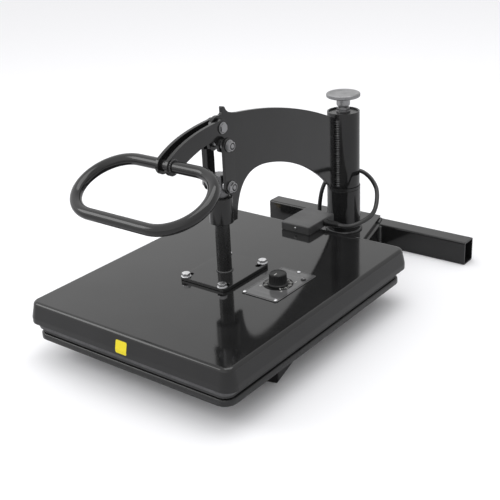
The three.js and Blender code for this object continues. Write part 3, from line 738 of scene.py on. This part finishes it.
def build_plug():
    """A moulded mains plug on the bench beside its coil: a waisted body, a ribbed tail and three pins."""
    low, high = extent("plug")
    y, z = middle("plug").y, PLUG_AXIS_Z
    tail, nose = high.x, low.x + 20.5
    rings = []
    for i in range(25):
        t = i / 24
        x = nose + (tail - 24 - nose) * t
        shrink = 0.05 * math.exp(-(((t - 0.42) / 0.16) ** 2)) + max(0, (t - 0.72) / 0.28) ** 2 * 0.45
        cap = 1 - 0.12 * max(0, 1 - t / 0.06) ** 2
        half_y, half_z = 14 * (1 - shrink) * cap, 13 * (1 - shrink) * cap
        outline = rounded_rectangle(half_y, half_z, min(half_y, half_z) * 0.45, 6)
        rings.append([(x, y + u, z + v) for u, v in outline])
    shapes = [loft(rings)]
    ribs = 5
    for i in range(ribs):
        start = tail - 25 + i * 5
        outer = 7 - 0.45 * i
        profile = [(0, 0), (outer - 0.5, 0), (outer, 0.5), (outer, 3.2)]
        profile += [(outer - 1.1, 3.4), (outer - 1.1, 5.0), (0, 5.0)]
        shapes.append(turned_to_x(lathe(profile, sides=40), (start, y, z)))
    body = piece("plug_body", joined(*shapes), PLASTIC, "base", ("plug",))
    blade = rounded_rectangle(0.75, 3.2, 0.5, 3)
    pins = []
    for side in (-6.5, 6.5):
        rings = []
        for x, scale in ((0, 0.7), (1, 1), (21.5, 1)):
            rings.append([(low.x + x, y + side + u * scale, z + 3 + v * scale) for u, v in blade])
        pins.append(loft(rings))
    ground = lathe([(0, 0), (1.6, 0), (2.3, 1), (2.3, 19), (0, 19)], sides=32)
    pins.append(turned_to_x(ground, (low.x + 2, y, z - 7)))
    return [body, piece("plug_pins", joined(*pins), BRASS, "base")]


def build_cord():
    loop_line = smooth_route(LOOP_ROUTE, 8)
    loop = cord_piece("cord_loop_detail", loop_line, ("cord_loop",))
    relief_piece = strain_relief()
    declare_cord(loop_line, [relief_piece])
    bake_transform(loop)

    into_anchor = (DROP_ROUTE[-1][0], DROP_ROUTE[-1][1], DROP_ROUTE[-1][2] - ANCHOR_GRIP)
    drop_line = smooth_route([*DROP_ROUTE, into_anchor], 8)
    drop = cord_piece("cord_drop_detail", drop_line, ("cord_drop",))
    declare_cord(drop_line)
    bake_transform(drop)

    tail = extent("plug")[1]
    rear = coil_route()
    leaving = (rear[-1][0] - 14, rear[-1][1], LAYER_Z[1] + 0.3)
    run_out = [leaving, (tail.x + 0.5, middle("plug").y, PLUG_AXIS_Z)]
    lead_line = smooth_route([*LEAD_ROUTE, *rear, *run_out], 3)
    lead = cord_piece("cord_lead_detail", lead_line, ("cord_lead", "cord_coil"))
    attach(lead, "base")
    declare_cord(lead_line, build_plug())
    dress("cord_clip", PLASTIC, 0.8)
    dress("cord_anchor", PLASTIC, 1.2)


build_cord()


# ---------------------------------------------------------------- base frame
TUBE_WIDTH, TUBE_WALL, TUBE_CORNER = 36.0, 3.0, 4.0
TUBE_HEIGHT = extent("cross_tube")[1].z
LEG_ANGLE = math.radians(13.8)
LEG_REAR_X, LEG_FRONT_Y = 46, -105
CROSS_LOW, CROSS_HIGH = extent("cross_tube")


def tube_section(inset=0.0):
    half_width, half_height = TUBE_WIDTH / 2 - inset, TUBE_HEIGHT / 2 - inset
    return rounded_rectangle(half_width, half_height, TUBE_CORNER - inset, 8)


def hollow_tube(place_ring):
    """A rectangular tube with open ends and broken edges.
    place_ring(section, end, inwards) puts a section that far inwards from end 0 or 1."""
    edge = 0.4
    outer, broken, inner = tube_section(), tube_section(edge), tube_section(TUBE_WALL)
    outside = [(broken, 0, 0), (outer, 0, edge), (outer, 1, edge), (broken, 1, 0)]
    layout = [*outside, (inner, 1, 0), (inner, 0, 0)]
    return loft([place_ring(*entry) for entry in layout], loop=True)


def cross_tube():
    y = (CROSS_LOW.y + CROSS_HIGH.y) / 2

    def place_ring(section, end, inwards):
        x = CROSS_HIGH.x - inwards if end else CROSS_LOW.x + inwards
        return [(x, y + u, TUBE_HEIGHT / 2 + v) for u, v in section]

    return hollow_tube(place_ring)


def leg(side):
    """A splayed leg, square at the front and cut to the cross tube's wall at the rear."""
    rear_y = CROSS_LOW.y
    root_x = LEG_REAR_X - TUBE_WIDTH / 2 / math.cos(LEG_ANGLE)
    run = (rear_y - LEG_FRONT_Y) / math.cos(LEG_ANGLE)
    sine, cosine = math.sin(side * LEG_ANGLE), math.cos(LEG_ANGLE)

    def place_ring(section, end, inwards):
        ring = []
        for u, v in section:
            along = -run + inwards if end else (-CLEARANCE - inwards - u * sine) / cosine
            x = side * root_x + u * cosine - along * sine
            y = rear_y + u * sine + along * cosine
            ring.append((x, y, TUBE_HEIGHT / 2 + v))
        return ring

    return hollow_tube(place_ring)


def build_base():
    instead_of("cross_tube", cross_tube(), GLOSS, "gloss_black")
    for name, side in (("left", -1), ("right", 1)):
        instead_of(f"leg_{name}", leg(side), GLOSS, "gloss_black")
        dress(f"leg_cap_{name}", PLASTIC, 0.8)
    dress("base_plate", GLOSS, 0.7)
    bore = extent("spindle")[1].x + CLEARANCE
    low, high = extent("lower_post")
    outer = high.x
    instead_of("lower_post", collar(bore, outer, low.z, high.z, 0.8, (0, POST_Y)), GLOSS, "gloss_black")
    dress("spindle", STEEL, 0.8)
    low, high = extent("lift_collar")
    instead_of("lift_collar", collar(bore, outer, low.z, high.z, 0.3, (0, POST_Y)), SATIN, "satin_black")
    build_table()
    build_base_welds()


def build_table():
    dress("lower_table", SATIN, 0.0)
    low, high = extent("silicone_pad")
    outline = rounded_rectangle(high.x, high.y, 17, 14)
    pad = instead_of("silicone_pad", slab(outline, low.z, high.z, 1.6), SPONGE, "silicone")


def build_base_welds():
    """Beads round the post's foot, along the plate's edges and down the leg joints."""
    plate_low, plate_high = extent("base_plate")
    post_radius = extent("lower_post")[1].x
    beads = [weld_bead(circle_line((0, POST_Y, plate_high.z + 1.0), post_radius + 0.8), 2.8, loop=True)]
    under = plate_low.z + 0.6
    for side in (-1, 1):
        x, y = side * 46.5, CROSS_LOW.y - 1.0
        beads.append(straight_bead((x, y, 5), (x, y, 45), 3.4, 4.6))
        x, y = side * 32, CROSS_HIGH.y - 8
        beads.append(straight_bead((x, y, under), (x + side * 8, y - 24, under), 2.2))
    y = plate_high.y + 0.4
    beads.append(straight_bead((-22, y, under), (22, y, under), 2.2))
    piece("base_welds", joined(*beads), WELD, "base")


build_base()


# ---------------------------------------------------------------- post, arm and pressure screw
def arm_outline():
    """The arm: a nose over the guide barrel, a long back that falls to the post, and an arch below."""
    nose, nose_from, nose_to = 18.5, -1.1, -4.9
    front, neck = BARREL_HIGH.x + CLEARANCE, 18
    rear = POST_Y - SLEEVE_HIGH.x - CLEARANCE
    foot = BARREL_LOW.z - 8
    heel = SLEEVE_LOW.z + 2.7
    nose_line = arc((0, PIVOT_Z), nose, nose_from, nose_to, 36)
    points = [(front, foot), (front, BARREL_HIGH.z + 2), (neck, BARREL_HIGH.z + 8), (neck, PIVOT_Z - 30)]
    points += curve_between(points[-1], (neck, PIVOT_Z - 20), nose_line[0], steps=8)
    points += nose_line[1:]
    back = [
        (8, [(11.5, 16.8), (13, 21)]), (1, [(13, 28.5)]), (5, [(13, 30.5), (15, 30.4)]), (1, [(18.7, 29.6)]),
        (5, [(20.4, 29.2), (21.2, 27)]), (8, [(25.5, 18.5), (34, 16.5)]), (8, [(42, 13.4), (56, 11.4)]),
        (48, [(145, 1.5), (250, -24.5), (rear, -74)]),
    ]
    for steps, controls in back:
        points += curve_between(points[-1], *[(y, PIVOT_Z + z) for y, z in controls], steps=steps)
    points += [(rear, heel), (rear - 15, heel)]
    points += curve_between(points[-1], (293, 207), (203, 256), (123, 267), steps=40)
    points += curve_between(points[-1], (78, 273), (44, 257), (39, foot), steps=32)
    return points


def build_arm():
    thickness = extent("arm_plate")[1].x
    shape = stood_on_edge(profile_cut([arm_outline()], -thickness, thickness, 0.8))
    instead_of("arm_plate", shape, GLOSS, "gloss_black")
    bore = extent("bushing_lower")[1].x + CLEARANCE
    sleeve = collar(bore, SLEEVE_HIGH.x, SLEEVE_LOW.z, SLEEVE_HIGH.z, 0.9, (0, POST_Y), 96)
    instead_of("arm_sleeve", sleeve, GLOSS, "gloss_black")
    for name in ("lower", "upper"):
        dress(f"bushing_{name}", BRONZE, 0.4)
        dress(f"guide_bushing_{name}", PLASTIC, 0.4)
    dress("sleeve_cap", SATIN, 0.6)
    barrel_bore = extent("guide_bushing_lower")[1].x + CLEARANCE
    barrel = collar(barrel_bore, BARREL_HIGH.x, BARREL_LOW.z, BARREL_HIGH.z, 0.9)
    instead_of("guide_barrel", barrel, GLOSS, "gloss_black")
    low, high = extent("cap_nut")
    nut = joined(
        moved(washer(13.5, 3.6), (0, POST_Y, low.z)),
        moved(hex_head(22, high.z - low.z - 3.6), (0, POST_Y, low.z + 3.6)),
    )
    instead_of("cap_nut", nut, ZINC, "zinc")
    build_arm_welds(thickness)


def build_arm_welds(half):
    """Beads down both sides of the arm, where it meets the sleeve and the guide barrel."""
    beads = []
    rear, front = POST_Y - SLEEVE_HIGH.x + 0.2, BARREL_HIGH.x - 0.6
    for side in (-1, 1):
        x = side * (half + 2.6)
        beads.append(straight_bead((x, rear, SLEEVE_LOW.z + 6), (x, rear, PIVOT_Z - 76), 4.2, 4.6))
        x = side * (half + 0.4)
        beads.append(straight_bead((x, front, BARREL_LOW.z + 2), (x, front, BARREL_HIGH.z - 1), 2.4))
    piece("arm_welds", joined(*beads), WELD, "arm")


def build_knob():
    """A turned hand knob: knurled rim, dished top and a plain hub."""
    low, high = extent("pressure_knob")
    rim, hub = high.x, 13.0
    under, top = high.z - 8, high.z

    def knurl(radius, height, turn):
        on_rim = radius > rim - 1 and under + 0.8 < height < top - 0.8
        return radius - (0.7 * abs(math.sin(36 * turn)) if on_rim else 0)

    profile = [
        (0, low.z), (hub - 2, low.z), (hub - 0.6, low.z + 1), (hub, low.z + 3), (hub, under - 3),
        (hub + 0.8, under - 1), (hub + 3, under), (rim - 2.2, under), (rim - 0.9, under + 0.7),
        (rim, under + 1.6), (rim, top - 1.6), (rim - 0.9, top - 0.7), (rim - 2.2, top), (rim - 5.5, top),
        (rim - 7.5, top - 1.0), (rim - 9, top - 1.6), (7, top - 1.6), (5.6, top - 1.1), (0, top - 0.9),
    ]
    instead_of("pressure_knob", lathe(profile, (0, POST_Y), 432, knurl), ALUMINIUM, "aluminium")
    dress("adjusting_screw", ZINC, 0.5)


build_arm()
build_knob()

# ---------------------------------------------------------------- lever, links and shaft
LOOP_Y, LOOP_Z = -179.7, 308.4
LOOP_TILT = math.radians(24)
LOOP_BEND, LOOP_BAR, LOOP_TUBE = 63.6, 117.4, 9.4
LEVER_INNER = extent("lever_plate_right")[0].x
PIN_RADIUS = 6
BACK_BAR = (LOOP_Y + LOOP_BEND * math.cos(LOOP_TILT), LOOP_Z + LOOP_BEND * math.sin(LOOP_TILT))


def lever_outline():
    """The lever plate: pivot and heel at the rear, and a boss round the loop's back bar in front."""
    boss = 15
    y, z = BACK_BAR
    under = (y + boss * math.cos(-0.9), z + boss * math.sin(-0.9))
    over = (y + boss * math.cos(-4.1), z + boss * math.sin(-4.1))
    heel = arc((0, HEEL_Z), 13, 0, -0.8 * math.pi, 28)
    points = heel + curve_between(heel[-1], (-12, PIVOT_Z - 17), (-24, PIVOT_Z - 17), steps=10)
    points += curve_between((-24, PIVOT_Z - 17), (-50, PIVOT_Z - 17), (-76, PIVOT_Z - 26), under, steps=24)
    points += arc((y, z), boss, -0.9, -4.1, 36)[1:]
    nose = arc((0, PIVOT_Z), 14, 2, 0, 24)
    points += curve_between(over, (-98, PIVOT_Z + 2), (-58, PIVOT_Z + 10), nose[0], steps=24)
    return points + nose[1:]


def hand_loop():
    """Two straight bars and two half circles of round tube, tilted down to the front."""
    out = Vector((0, math.cos(LOOP_TILT), math.sin(LOOP_TILT)))
    centre = Vector((0, LOOP_Y, LOOP_Z))
    turn_steps, bar_steps = 44, 10
    line = []
    for side in (1, -1):
        for i in range(turn_steps + 1):
            turn = math.pi * i / turn_steps
            reach = Vector((math.sin(turn), 0, 0)) - out * math.cos(turn)
            line.append(centre + Vector((side * LOOP_BAR / 2, 0, 0)) + side * LOOP_BEND * reach)
        for i in range(1, bar_steps):
            shift = LOOP_BAR * i / bar_steps
            line.append(centre + Vector((side * (LOOP_BAR / 2 - shift), 0, 0)) + side * LOOP_BEND * out)
    return sweep(line, LOOP_TUBE, 32, loop=True)


def round_hole(y, z, radius):
    return arc((y, z), radius, 0, 2 * math.pi, 40)[:-1]


def build_lever():
    inner, outer = LEVER_INNER, extent("lever_plate_right")[1].x
    holes = [round_hole(0, z, PIN_RADIUS + CLEARANCE) for z in (PIVOT_Z, HEEL_Z)]
    outlines = [lever_outline(), round_hole(*BACK_BAR, LOOP_TUBE + CLEARANCE), *holes]
    for name, low, high in (("right", inner, outer), ("left", -outer, -inner)):
        plate = stood_on_edge(profile_cut(outlines, low, high, 0.6))
        instead_of(f"lever_plate_{name}", plate, GLOSS, "gloss_black")
    instead_of("handle_loop", hand_loop(), GLOSS, "gloss_black")
    beads = []
    for side in (-1, 1):
        line = circle_line((side * (outer + 0.3), *BACK_BAR), LOOP_TUBE + 0.8, "x")
        beads.append(weld_bead(line, 1.9, loop=True))
    piece("lever_welds", joined(*beads), WELD, "lever")
    dress("heel_pin", ZINC, 0.3)


def lock_nut(face, side, z):
    """A washer and a locking nut, with the bolt's end standing out, on one side of the toggle."""
    nut = joined(washer(10, 2), hex_head(15, 5.2, 2), disc(4, 6, 8, 0.8))
    return turned_to_x(nut, (side * face, 0, z), side)


def painted_shade_ring(face, side, z):
    """A dark plastic ring on top of a locking nut, where the nut's recess lies in shade: painted shade
    standing in for that recess.
    """
    return turned_to_x(collar(3.9, 5.8, 6.8, 7.45, 0.2, sides=40), (side * face, 0, z), side)


def low_bolt_head(face, side, z):
    head = joined(washer(9.6, 1.6), hex_head(13.9, 3.3, 1.6))
    return turned_to_x(head, (side * face, 0, z), side)


def through_bolt(face, z, inner_face, outer_face, end):
    """A pin across the toggle, with a spacer between two faces and an end fitting on each side."""
    shapes = [turned_to_x(disc(PIN_RADIUS, 0, 2 * face + 2, 0.3), (-face - 1, 0, z))]
    for side in (-1, 1):
        spacer = disc(9.5, 0, outer_face - inner_face - 2 * CLEARANCE, 0.4)
        shapes.append(turned_to_x(spacer, (side * (inner_face + CLEARANCE), 0, z), side))
        shapes.append(end(face, side, z))
    return joined(*shapes)


def build_links():
    link_low, link_high = extent("link_right")
    face = link_high.x + CLEARANCE
    half = link_high.y
    outline = arc((0, SHAFT_PIN_Z), half, math.pi, 2 * math.pi, 32) + arc((0, HEEL_Z), half, 0, math.pi, 32)
    for name, side in (("left", -1), ("right", 1)):
        low, high = sorted((side * link_low.x, side * link_high.x))
        plate = stood_on_edge(profile_cut([outline], low, high, 0.7))
        instead_of(f"link_{name}", plate, GLOSS, "gloss_black")
        instead_of(f"link_bolt_{name}", lock_nut(face, side, HEEL_Z), ZINC, "zinc")
    lever_face = extent("lever_plate_right")[1].x + CLEARANCE
    arm_face = extent("arm_plate")[1].x
    pivot = through_bolt(lever_face, PIVOT_Z, arm_face, LEVER_INNER, low_bolt_head)
    instead_of("pivot_bolt", pivot, ZINC, "zinc")
    pin = through_bolt(face, SHAFT_PIN_Z, SHAFT_RADIUS, link_low.x, lock_nut)
    instead_of("shaft_pin", pin, ZINC, "zinc")
    # Dark plastic rings on the locking nuts: painted shade for the nuts' shadowed recesses.
    for name, body, z in (("link", "links", HEEL_Z), ("shaft", "head", SHAFT_PIN_Z)):
        rings = [painted_shade_ring(face, side, z) for side in (-1, 1)]
        piece(f"{name}_painted_shade_rings", joined(*rings), PLASTIC, body)


def build_shaft():
    chamfer = 1.5
    profile = [
        (0, SHAFT_LOW.z), (SHAFT_RADIUS, SHAFT_LOW.z), (SHAFT_RADIUS, SHAFT_HIGH.z - chamfer),
        (SHAFT_RADIUS - 0.4, SHAFT_HIGH.z - 0.9), (SHAFT_RADIUS - chamfer, SHAFT_HIGH.z), (0, SHAFT_HIGH.z),
    ]
    instead_of("shaft", lathe(profile, sides=80), SHAFT_STEEL, "machined_steel")
    bead = weld_bead(circle_line((0, 0, PLATE_HIGH.z + 0.5), SHAFT_RADIUS + 0.4), 1.5, loop=True)
    piece("shaft_weld", bead, WELD, "head")


build_lever()
build_links()
build_shaft()

# ---------------------------------------------------------------- heated head
COVER_EDGE, COVER_FLARE, COVER_SHEET = 7.0, 4.5, 1.5
COVER_HALF_X, COVER_HALF_Y = COVER_HIGH.x - COVER_FLARE, COVER_HIGH.y - COVER_FLARE
COVER_CORNER = 17.0
FLARE_END = COVER_LOW.z + 10


def cover_outset(z):
    """How far the cover's skirt stands out past its upper wall at a height."""
    start = COVER_TOP - COVER_EDGE
    t = min(max((start - z) / (start - FLARE_END), 0), 1)
    return COVER_FLARE * t


def build_cover():
    """A deep-drawn pan: a flat mirror top, a rounded rim, a skirt that flares to a straight lip."""
    def ring(outset, z):
        corner = max(COVER_CORNER + outset, 1)
        outline = rounded_rectangle(COVER_HALF_X + outset, COVER_HALF_Y + outset, corner, 16)
        return [(x, y, z) for x, y in outline]

    rings = []
    steps = 10
    for i in range(steps + 1):
        turn = i / steps * math.pi / 2
        rings.append(ring(-COVER_EDGE * (1 - math.sin(turn)), COVER_TOP - COVER_EDGE * (1 - math.cos(turn))))
    for z in (FLARE_END + 2, FLARE_END + 0.6, FLARE_END - 0.6, FLARE_END - 2):
        rings.append(ring(cover_outset(z), z))
    lip = COVER_LOW.z
    rings += [ring(COVER_FLARE, lip + 0.7), ring(COVER_FLARE - 0.25, lip + 0.2)]
    rings += [ring(COVER_FLARE - 0.75, lip), ring(COVER_FLARE - 1.25, lip + 0.2)]
    rings += [ring(COVER_FLARE - COVER_SHEET, lip + 0.7)]
    rings += [ring(COVER_FLARE - COVER_SHEET, FLARE_END), ring(-COVER_SHEET, COVER_TOP - COVER_EDGE)]
    rings += [ring(-COVER_EDGE, COVER_TOP - COVER_SHEET)]
    instead_of("platen_cover", loft(rings), MIRROR, "gloss_black")


def build_platen():
    low, high = extent("heat_platen")
    outline = rounded_rectangle(high.x, high.y, 16, 14)
    instead_of("heat_platen", slab(outline, low.z, high.z, 1.2), CASTING, "cast_aluminium")
    dress("insulation", WOOL, 0.0)
    dress("heating_element", STEEL, 0.0)
    dress("thermostat", PLASTIC, 0.6)


def clipped(outline, limit):
    """An outline kept just inside the plate's edge."""
    return [(x, max(-limit, min(limit, y))) for x, y in outline]


def build_mounting_plate():
    """The shaft's foot: a plate with four slots, and a washered bolt in the outer end of each."""
    bolts = [middle(f"plate_bolt_{i}") for i in range(1, 5)]
    slot_run, slot_half = 13, 4.6
    holes = []
    for bolt in bolts:
        inwards = -math.copysign(1, bolt.y)
        centre = (bolt.x, bolt.y + inwards * slot_run / 2)
        holes.append(rounded_rectangle(slot_half, slot_run / 2 + slot_half, slot_half - 0.1, 10, centre))
    outline = rounded_rectangle(PLATE_HIGH.x, PLATE_HIGH.y, 5, 8)
    open_slots = [clipped(hole, PLATE_HIGH.y - 0.01) for hole in holes]
    plate = profile_cut([outline, *open_slots], PLATE_LOW.z, PLATE_HIGH.z, 0.7)
    instead_of("mounting_plate", plate, GLOSS, "gloss_black")
    for i, bolt in enumerate(bolts, 1):
        head = joined(
            disc(4, PLATE_LOW.z - 8, PLATE_HIGH.z + 1, 0.2, (bolt.x, bolt.y)),
            moved(washer(8.6, 1.7), (bolt.x, bolt.y, PLATE_HIGH.z + CLEARANCE)),
            moved(hex_head(13, 5.3), (bolt.x, bolt.y, PLATE_HIGH.z + 2)),
        )
        # The bolt heads take the lighter zinc copy: a painted highlight.
        instead_of(f"plate_bolt_{i}", head, ZINC_PAINTED_HIGHLIGHT, "zinc")


build_cover()
build_platen()
build_mounting_plate()


# ---------------------------------------------------------------- controls and junction box
def build_panel():
    centre = ((PANEL_LOW.x + PANEL_HIGH.x) / 2, (PANEL_LOW.y + PANEL_HIGH.y) / 2)
    half = ((PANEL_HIGH.x - PANEL_LOW.x) / 2, (PANEL_HIGH.y - PANEL_LOW.y) / 2)
    outline = rounded_rectangle(*half, 2, 6, centre)
    instead_of("control_panel", profile_cut([outline], PANEL_LOW.z, PANEL_HIGH.z, 0.25), OVERLAY, "label")
    for i in range(1, 4):
        low, high = extent(f"panel_screw_{i}")
        spot = middle(f"panel_screw_{i}")
        profile = [
            (0, low.z), (2.9, low.z), (3.2, low.z + 0.4), (3.1, low.z + 1.0), (2.4, high.z - 0.3),
            (1.5, high.z), (1.2, high.z - 0.1), (1.1, high.z - 0.9), (0, high.z - 0.9),
        ]
        # The screws take the lighter zinc copy: a painted highlight.
        instead_of(f"panel_screw_{i}", lathe(profile, (spot.x, spot.y), 36), ZINC_PAINTED_HIGHLIGHT, "zinc")
    build_lamp()
    build_dial_marks()


def build_lamp():
    low, high = extent("pilot_lamp")
    spot = middle("pilot_lamp")
    centre = (spot.x, spot.y)
    lens = [
        (0, low.z), (3.6, low.z), (3.5, high.z - 1.4), (2.8, high.z - 0.6), (1.5, high.z - 0.1), (0, high.z),
    ]
    instead_of("pilot_lamp", lathe(lens, centre, 40), LENS, "clear_lens")
    bezel = [(3.7, low.z), (4.5, low.z), (4.5, low.z + 1.0), (4.1, low.z + 1.4), (3.7, low.z + 1.2)]
    piece("lamp_bezel", lathe(bezel, centre, 40), PLASTIC, "head")


def printed_bar(start, stop, width, bottom, height=0.12):
    start, stop = Vector((*start, 0)), Vector((*stop, 0))
    along = (stop - start).normalized()
    across = Vector((-along.y, along.x, 0)) * width / 2
    corners = [start - across, stop - across, stop + across, start + across]
    return loft([[(c.x, c.y, z) for c in corners] for z in (bottom, bottom + height)])


def printed_number(text, centre, size, bottom):
    """A number lying flat on the panel, as a shape."""
    half_height = 0.06
    curve = bpy.data.curves.new("number", "FONT")
    curve.body = text
    curve.size = size
    curve.align_x = curve.align_y = "CENTER"
    curve.extrude = half_height
    holder = bpy.data.objects.new("number", curve)
    bpy.context.scene.collection.objects.link(holder)
    mesh = holder.to_mesh(depsgraph=bpy.context.evaluated_depsgraph_get())
    points = [v.co + Vector((*centre, bottom + half_height)) for v in mesh.vertices]
    faces = [list(face.vertices) for face in mesh.polygons]
    holder.to_mesh_clear()
    bpy.data.objects.remove(holder)
    bpy.data.curves.remove(curve)
    return points, faces


def round_the_dial(radius, turn):
    return (DIAL.x + radius * math.cos(turn), DIAL.y + radius * math.sin(turn))


def build_dial_marks():
    """A black scale disc with light ticks and plain numbers round it, and a line round the panel."""
    ink_bottom = PANEL_HIGH.z + 0.02
    scale = collar(3, 25.5, ink_bottom, ink_bottom + 0.14, 0.02, (DIAL.x, DIAL.y))
    inset = 2.2
    left, right = PANEL_LOW.x + inset, PANEL_HIGH.x - inset
    front, rear = PANEL_LOW.y + inset, PANEL_HIGH.y - inset
    corners = [(left, front), (right, front), (right, rear), (left, rear)]
    pairs = zip(corners, corners[1:] + corners[:1])
    border = [printed_bar(start, stop, 0.6, ink_bottom) for start, stop in pairs]
    piece("dial_scale", joined(scale, *border), BLACK_INK, "head")

    first, sweep_angle, count = math.radians(225), math.radians(270), 28
    marks = []
    for i in range(count):
        turn = first - sweep_angle * i / (count - 1)
        long = i % 3 == 0
        inner, outer = (17, 24.4) if long else (19.5, 23)
        start, stop = round_the_dial(inner, turn), round_the_dial(outer, turn)
        marks.append(printed_bar(start, stop, 1.1 if long else 0.6, ink_bottom + 0.1))
        if i % 9 == 0:
            marks.append(printed_number(str(i // 9), round_the_dial(29.6, turn), 6.5, ink_bottom))
    piece("dial_marks", joined(*marks), WHITE_INK, "head")


def build_dial():
    """A skirted knob with finger flutes and a pointer line."""
    low, high = extent("dial_knob")
    skirt = high.x - DIAL.x
    flutes = 24

    def flute(radius, height, turn):
        depth = 0.9 if low.z + 5 < height < high.z - 1.2 else 0
        return radius - depth * max(0, math.cos(flutes * turn)) ** 2

    profile = [
        (0, low.z), (skirt - 0.5, low.z), (skirt, low.z + 0.5), (skirt, low.z + 1.5),
        (skirt - 0.6, low.z + 2.2), (15.7, low.z + 2.9), (15.2, low.z + 4.0), (15, low.z + 10),
        (14.7, high.z - 2.0), (14.5, high.z - 1.0), (14, high.z - 0.4), (13.2, high.z),
        (11.8, high.z), (11.4, high.z - 0.5), (0, high.z - 0.5),
    ]
    instead_of("dial_knob", lathe(profile, (DIAL.x, DIAL.y), 216, flute), PLASTIC, "black_plastic")
    pointer = printed_bar((DIAL.x, DIAL.y - 3), (DIAL.x, DIAL.y - 10.4), 1.1, high.z - 0.52, 0.2)
    piece("dial_pointer", pointer, WHITE_INK, "dial")


def build_junction_box():
    low, high = extent("junction_box")
    centre = (0, (low.y + high.y) / 2)
    half_y = (high.y - low.y) / 2
    corner, crown, steps = 3, 2, 5
    rings = []
    for z in (low.z, high.z - crown):
        rings.append([(x, y, z) for x, y in rounded_rectangle(high.x, half_y, corner, 8, centre)])
    for i in range(1, steps + 1):
        turn = i / steps * math.pi / 2
        inset = crown * (1 - math.cos(turn))
        outline = rounded_rectangle(high.x - inset, half_y - inset, corner - 0.8 * inset, 8, centre)
        rings.append([(x, y, high.z - crown + crown * math.sin(turn)) for x, y in outline])
    instead_of("junction_box", loft(rings), BOX_PAINT, "satin_black")
    dress("junction_base", BOX_PAINT, 0.4)
    spot, wall_y = middle("box_screw"), extent("box_screw")[1].y
    head = [(0, 0), (2.6, 0), (2.6, 0.8), (2.0, 1.7), (1.1, 2.0), (0.9, 1.2), (0, 1.2)]
    points, faces = lathe(head, sides=36)
    facing_front = [Vector((spot.x + p.x, wall_y - p.z, spot.z + p.y)) for p in points]
    instead_of("box_screw", (facing_front, faces), ZINC, "zinc")


def build_sticker():
    """A plain yellow label on the cover's front wall, with rounded corners."""
    centre, half, corner = 1.5, 11.5, 2.5
    bottom, top = COVER_LOW.z + 4.5, COVER_TOP - 11.5
    rows = 28
    near, far = [], []
    for i in range(rows + 1):
        z = bottom + (top - bottom) * (1 - math.cos(math.pi * i / rows)) / 2
        short = max(corner - (z - bottom), corner - (top - z), 0)
        reach = half - corner + math.sqrt(max(corner**2 - short**2, 0.01))
        for skin, lift in ((near, 0.05), (far, 0.25)):
            y = -(COVER_HALF_Y + cover_outset(z)) - lift
            skin.append([(centre - reach, y, z), (centre + reach, y, z)])
    pairs = near + far[::-1]
    loop = [[pair[0] for pair in pairs], [pair[1] for pair in pairs]]
    piece("yellow_sticker", loft(loop), YELLOW_VINYL, "head")


build_panel()
build_dial()
build_junction_box()
build_sticker()


# ---------------------------------------------------------------- floor and light
def pale_floor():
    """White to the camera, and a pale grey in reflections, as in a dim studio."""
    material, tree, inputs = new_material("pale_floor", Roughness=0.9)
    seen = add_node(tree, "ShaderNodeLightPath").outputs["Is Camera Ray"]
    connect(tree, inputs, Base_Color=tint(tree, seen, grey(0.56), grey(0.92), 0.0, 1.0))
    return material


def build_stage():
    reach = 12
    mesh = bpy.data.meshes.new("floor")
    corners = [(-reach, -reach, 0), (reach, -reach, 0), (reach, reach, 0), (-reach, reach, 0)]
    mesh.from_pydata(corners, [], [[0, 1, 2, 3]])
    floor = bpy.data.objects.new("floor", mesh)
    mesh.materials.append(pale_floor())
    bpy.context.scene.collection.objects.link(floor)


def soft_box(name, place, size, power, aim=(0, 0, 0.15)):
    data = bpy.data.lights.new(name, "AREA")
    data.shape, data.size, data.energy = "SQUARE", size, power
    light = bpy.data.objects.new(name, data)
    light.location = place
    light.rotation_euler = (Vector(aim) - Vector(place)).to_track_quat("-Z", "Y").to_euler()
    bpy.context.scene.collection.objects.link(light)


def build_light():
    """A white sky that fades to the camera's right, a large soft box above and a small one at the left."""
    world = bpy.data.worlds.new("studio")
    world.use_nodes = True
    tree = world.node_tree
    toward = add_node(tree, "ShaderNodeTexCoord").outputs["Generated"]
    across = add_node(tree, "ShaderNodeVectorMath", {"operation": "DOT_PRODUCT"})
    tree.links.new(toward, across.inputs[0])
    across.inputs[1].default_value = (math.cos(CAMERA_AZIMUTH), math.sin(CAMERA_AZIMUTH), 0)
    fading = spread(tree, across.outputs["Value"], 1.1, 0.74, -0.3, 0.3)
    tree.links.new(fading, tree.nodes["Background"].inputs["Strength"])
    tree.nodes["Background"].inputs["Color"].default_value = (1, 1, 1, 1)
    bpy.context.scene.world = world
    bpy.context.scene.view_settings.view_transform = "Standard"
    soft_box("overhead", (0.2, 0.2, 2.4), 1.8, 22)
    soft_box("left_front", (-1.8, -1.6, 1.6), 1.2, 14)


build_stage()
build_light()
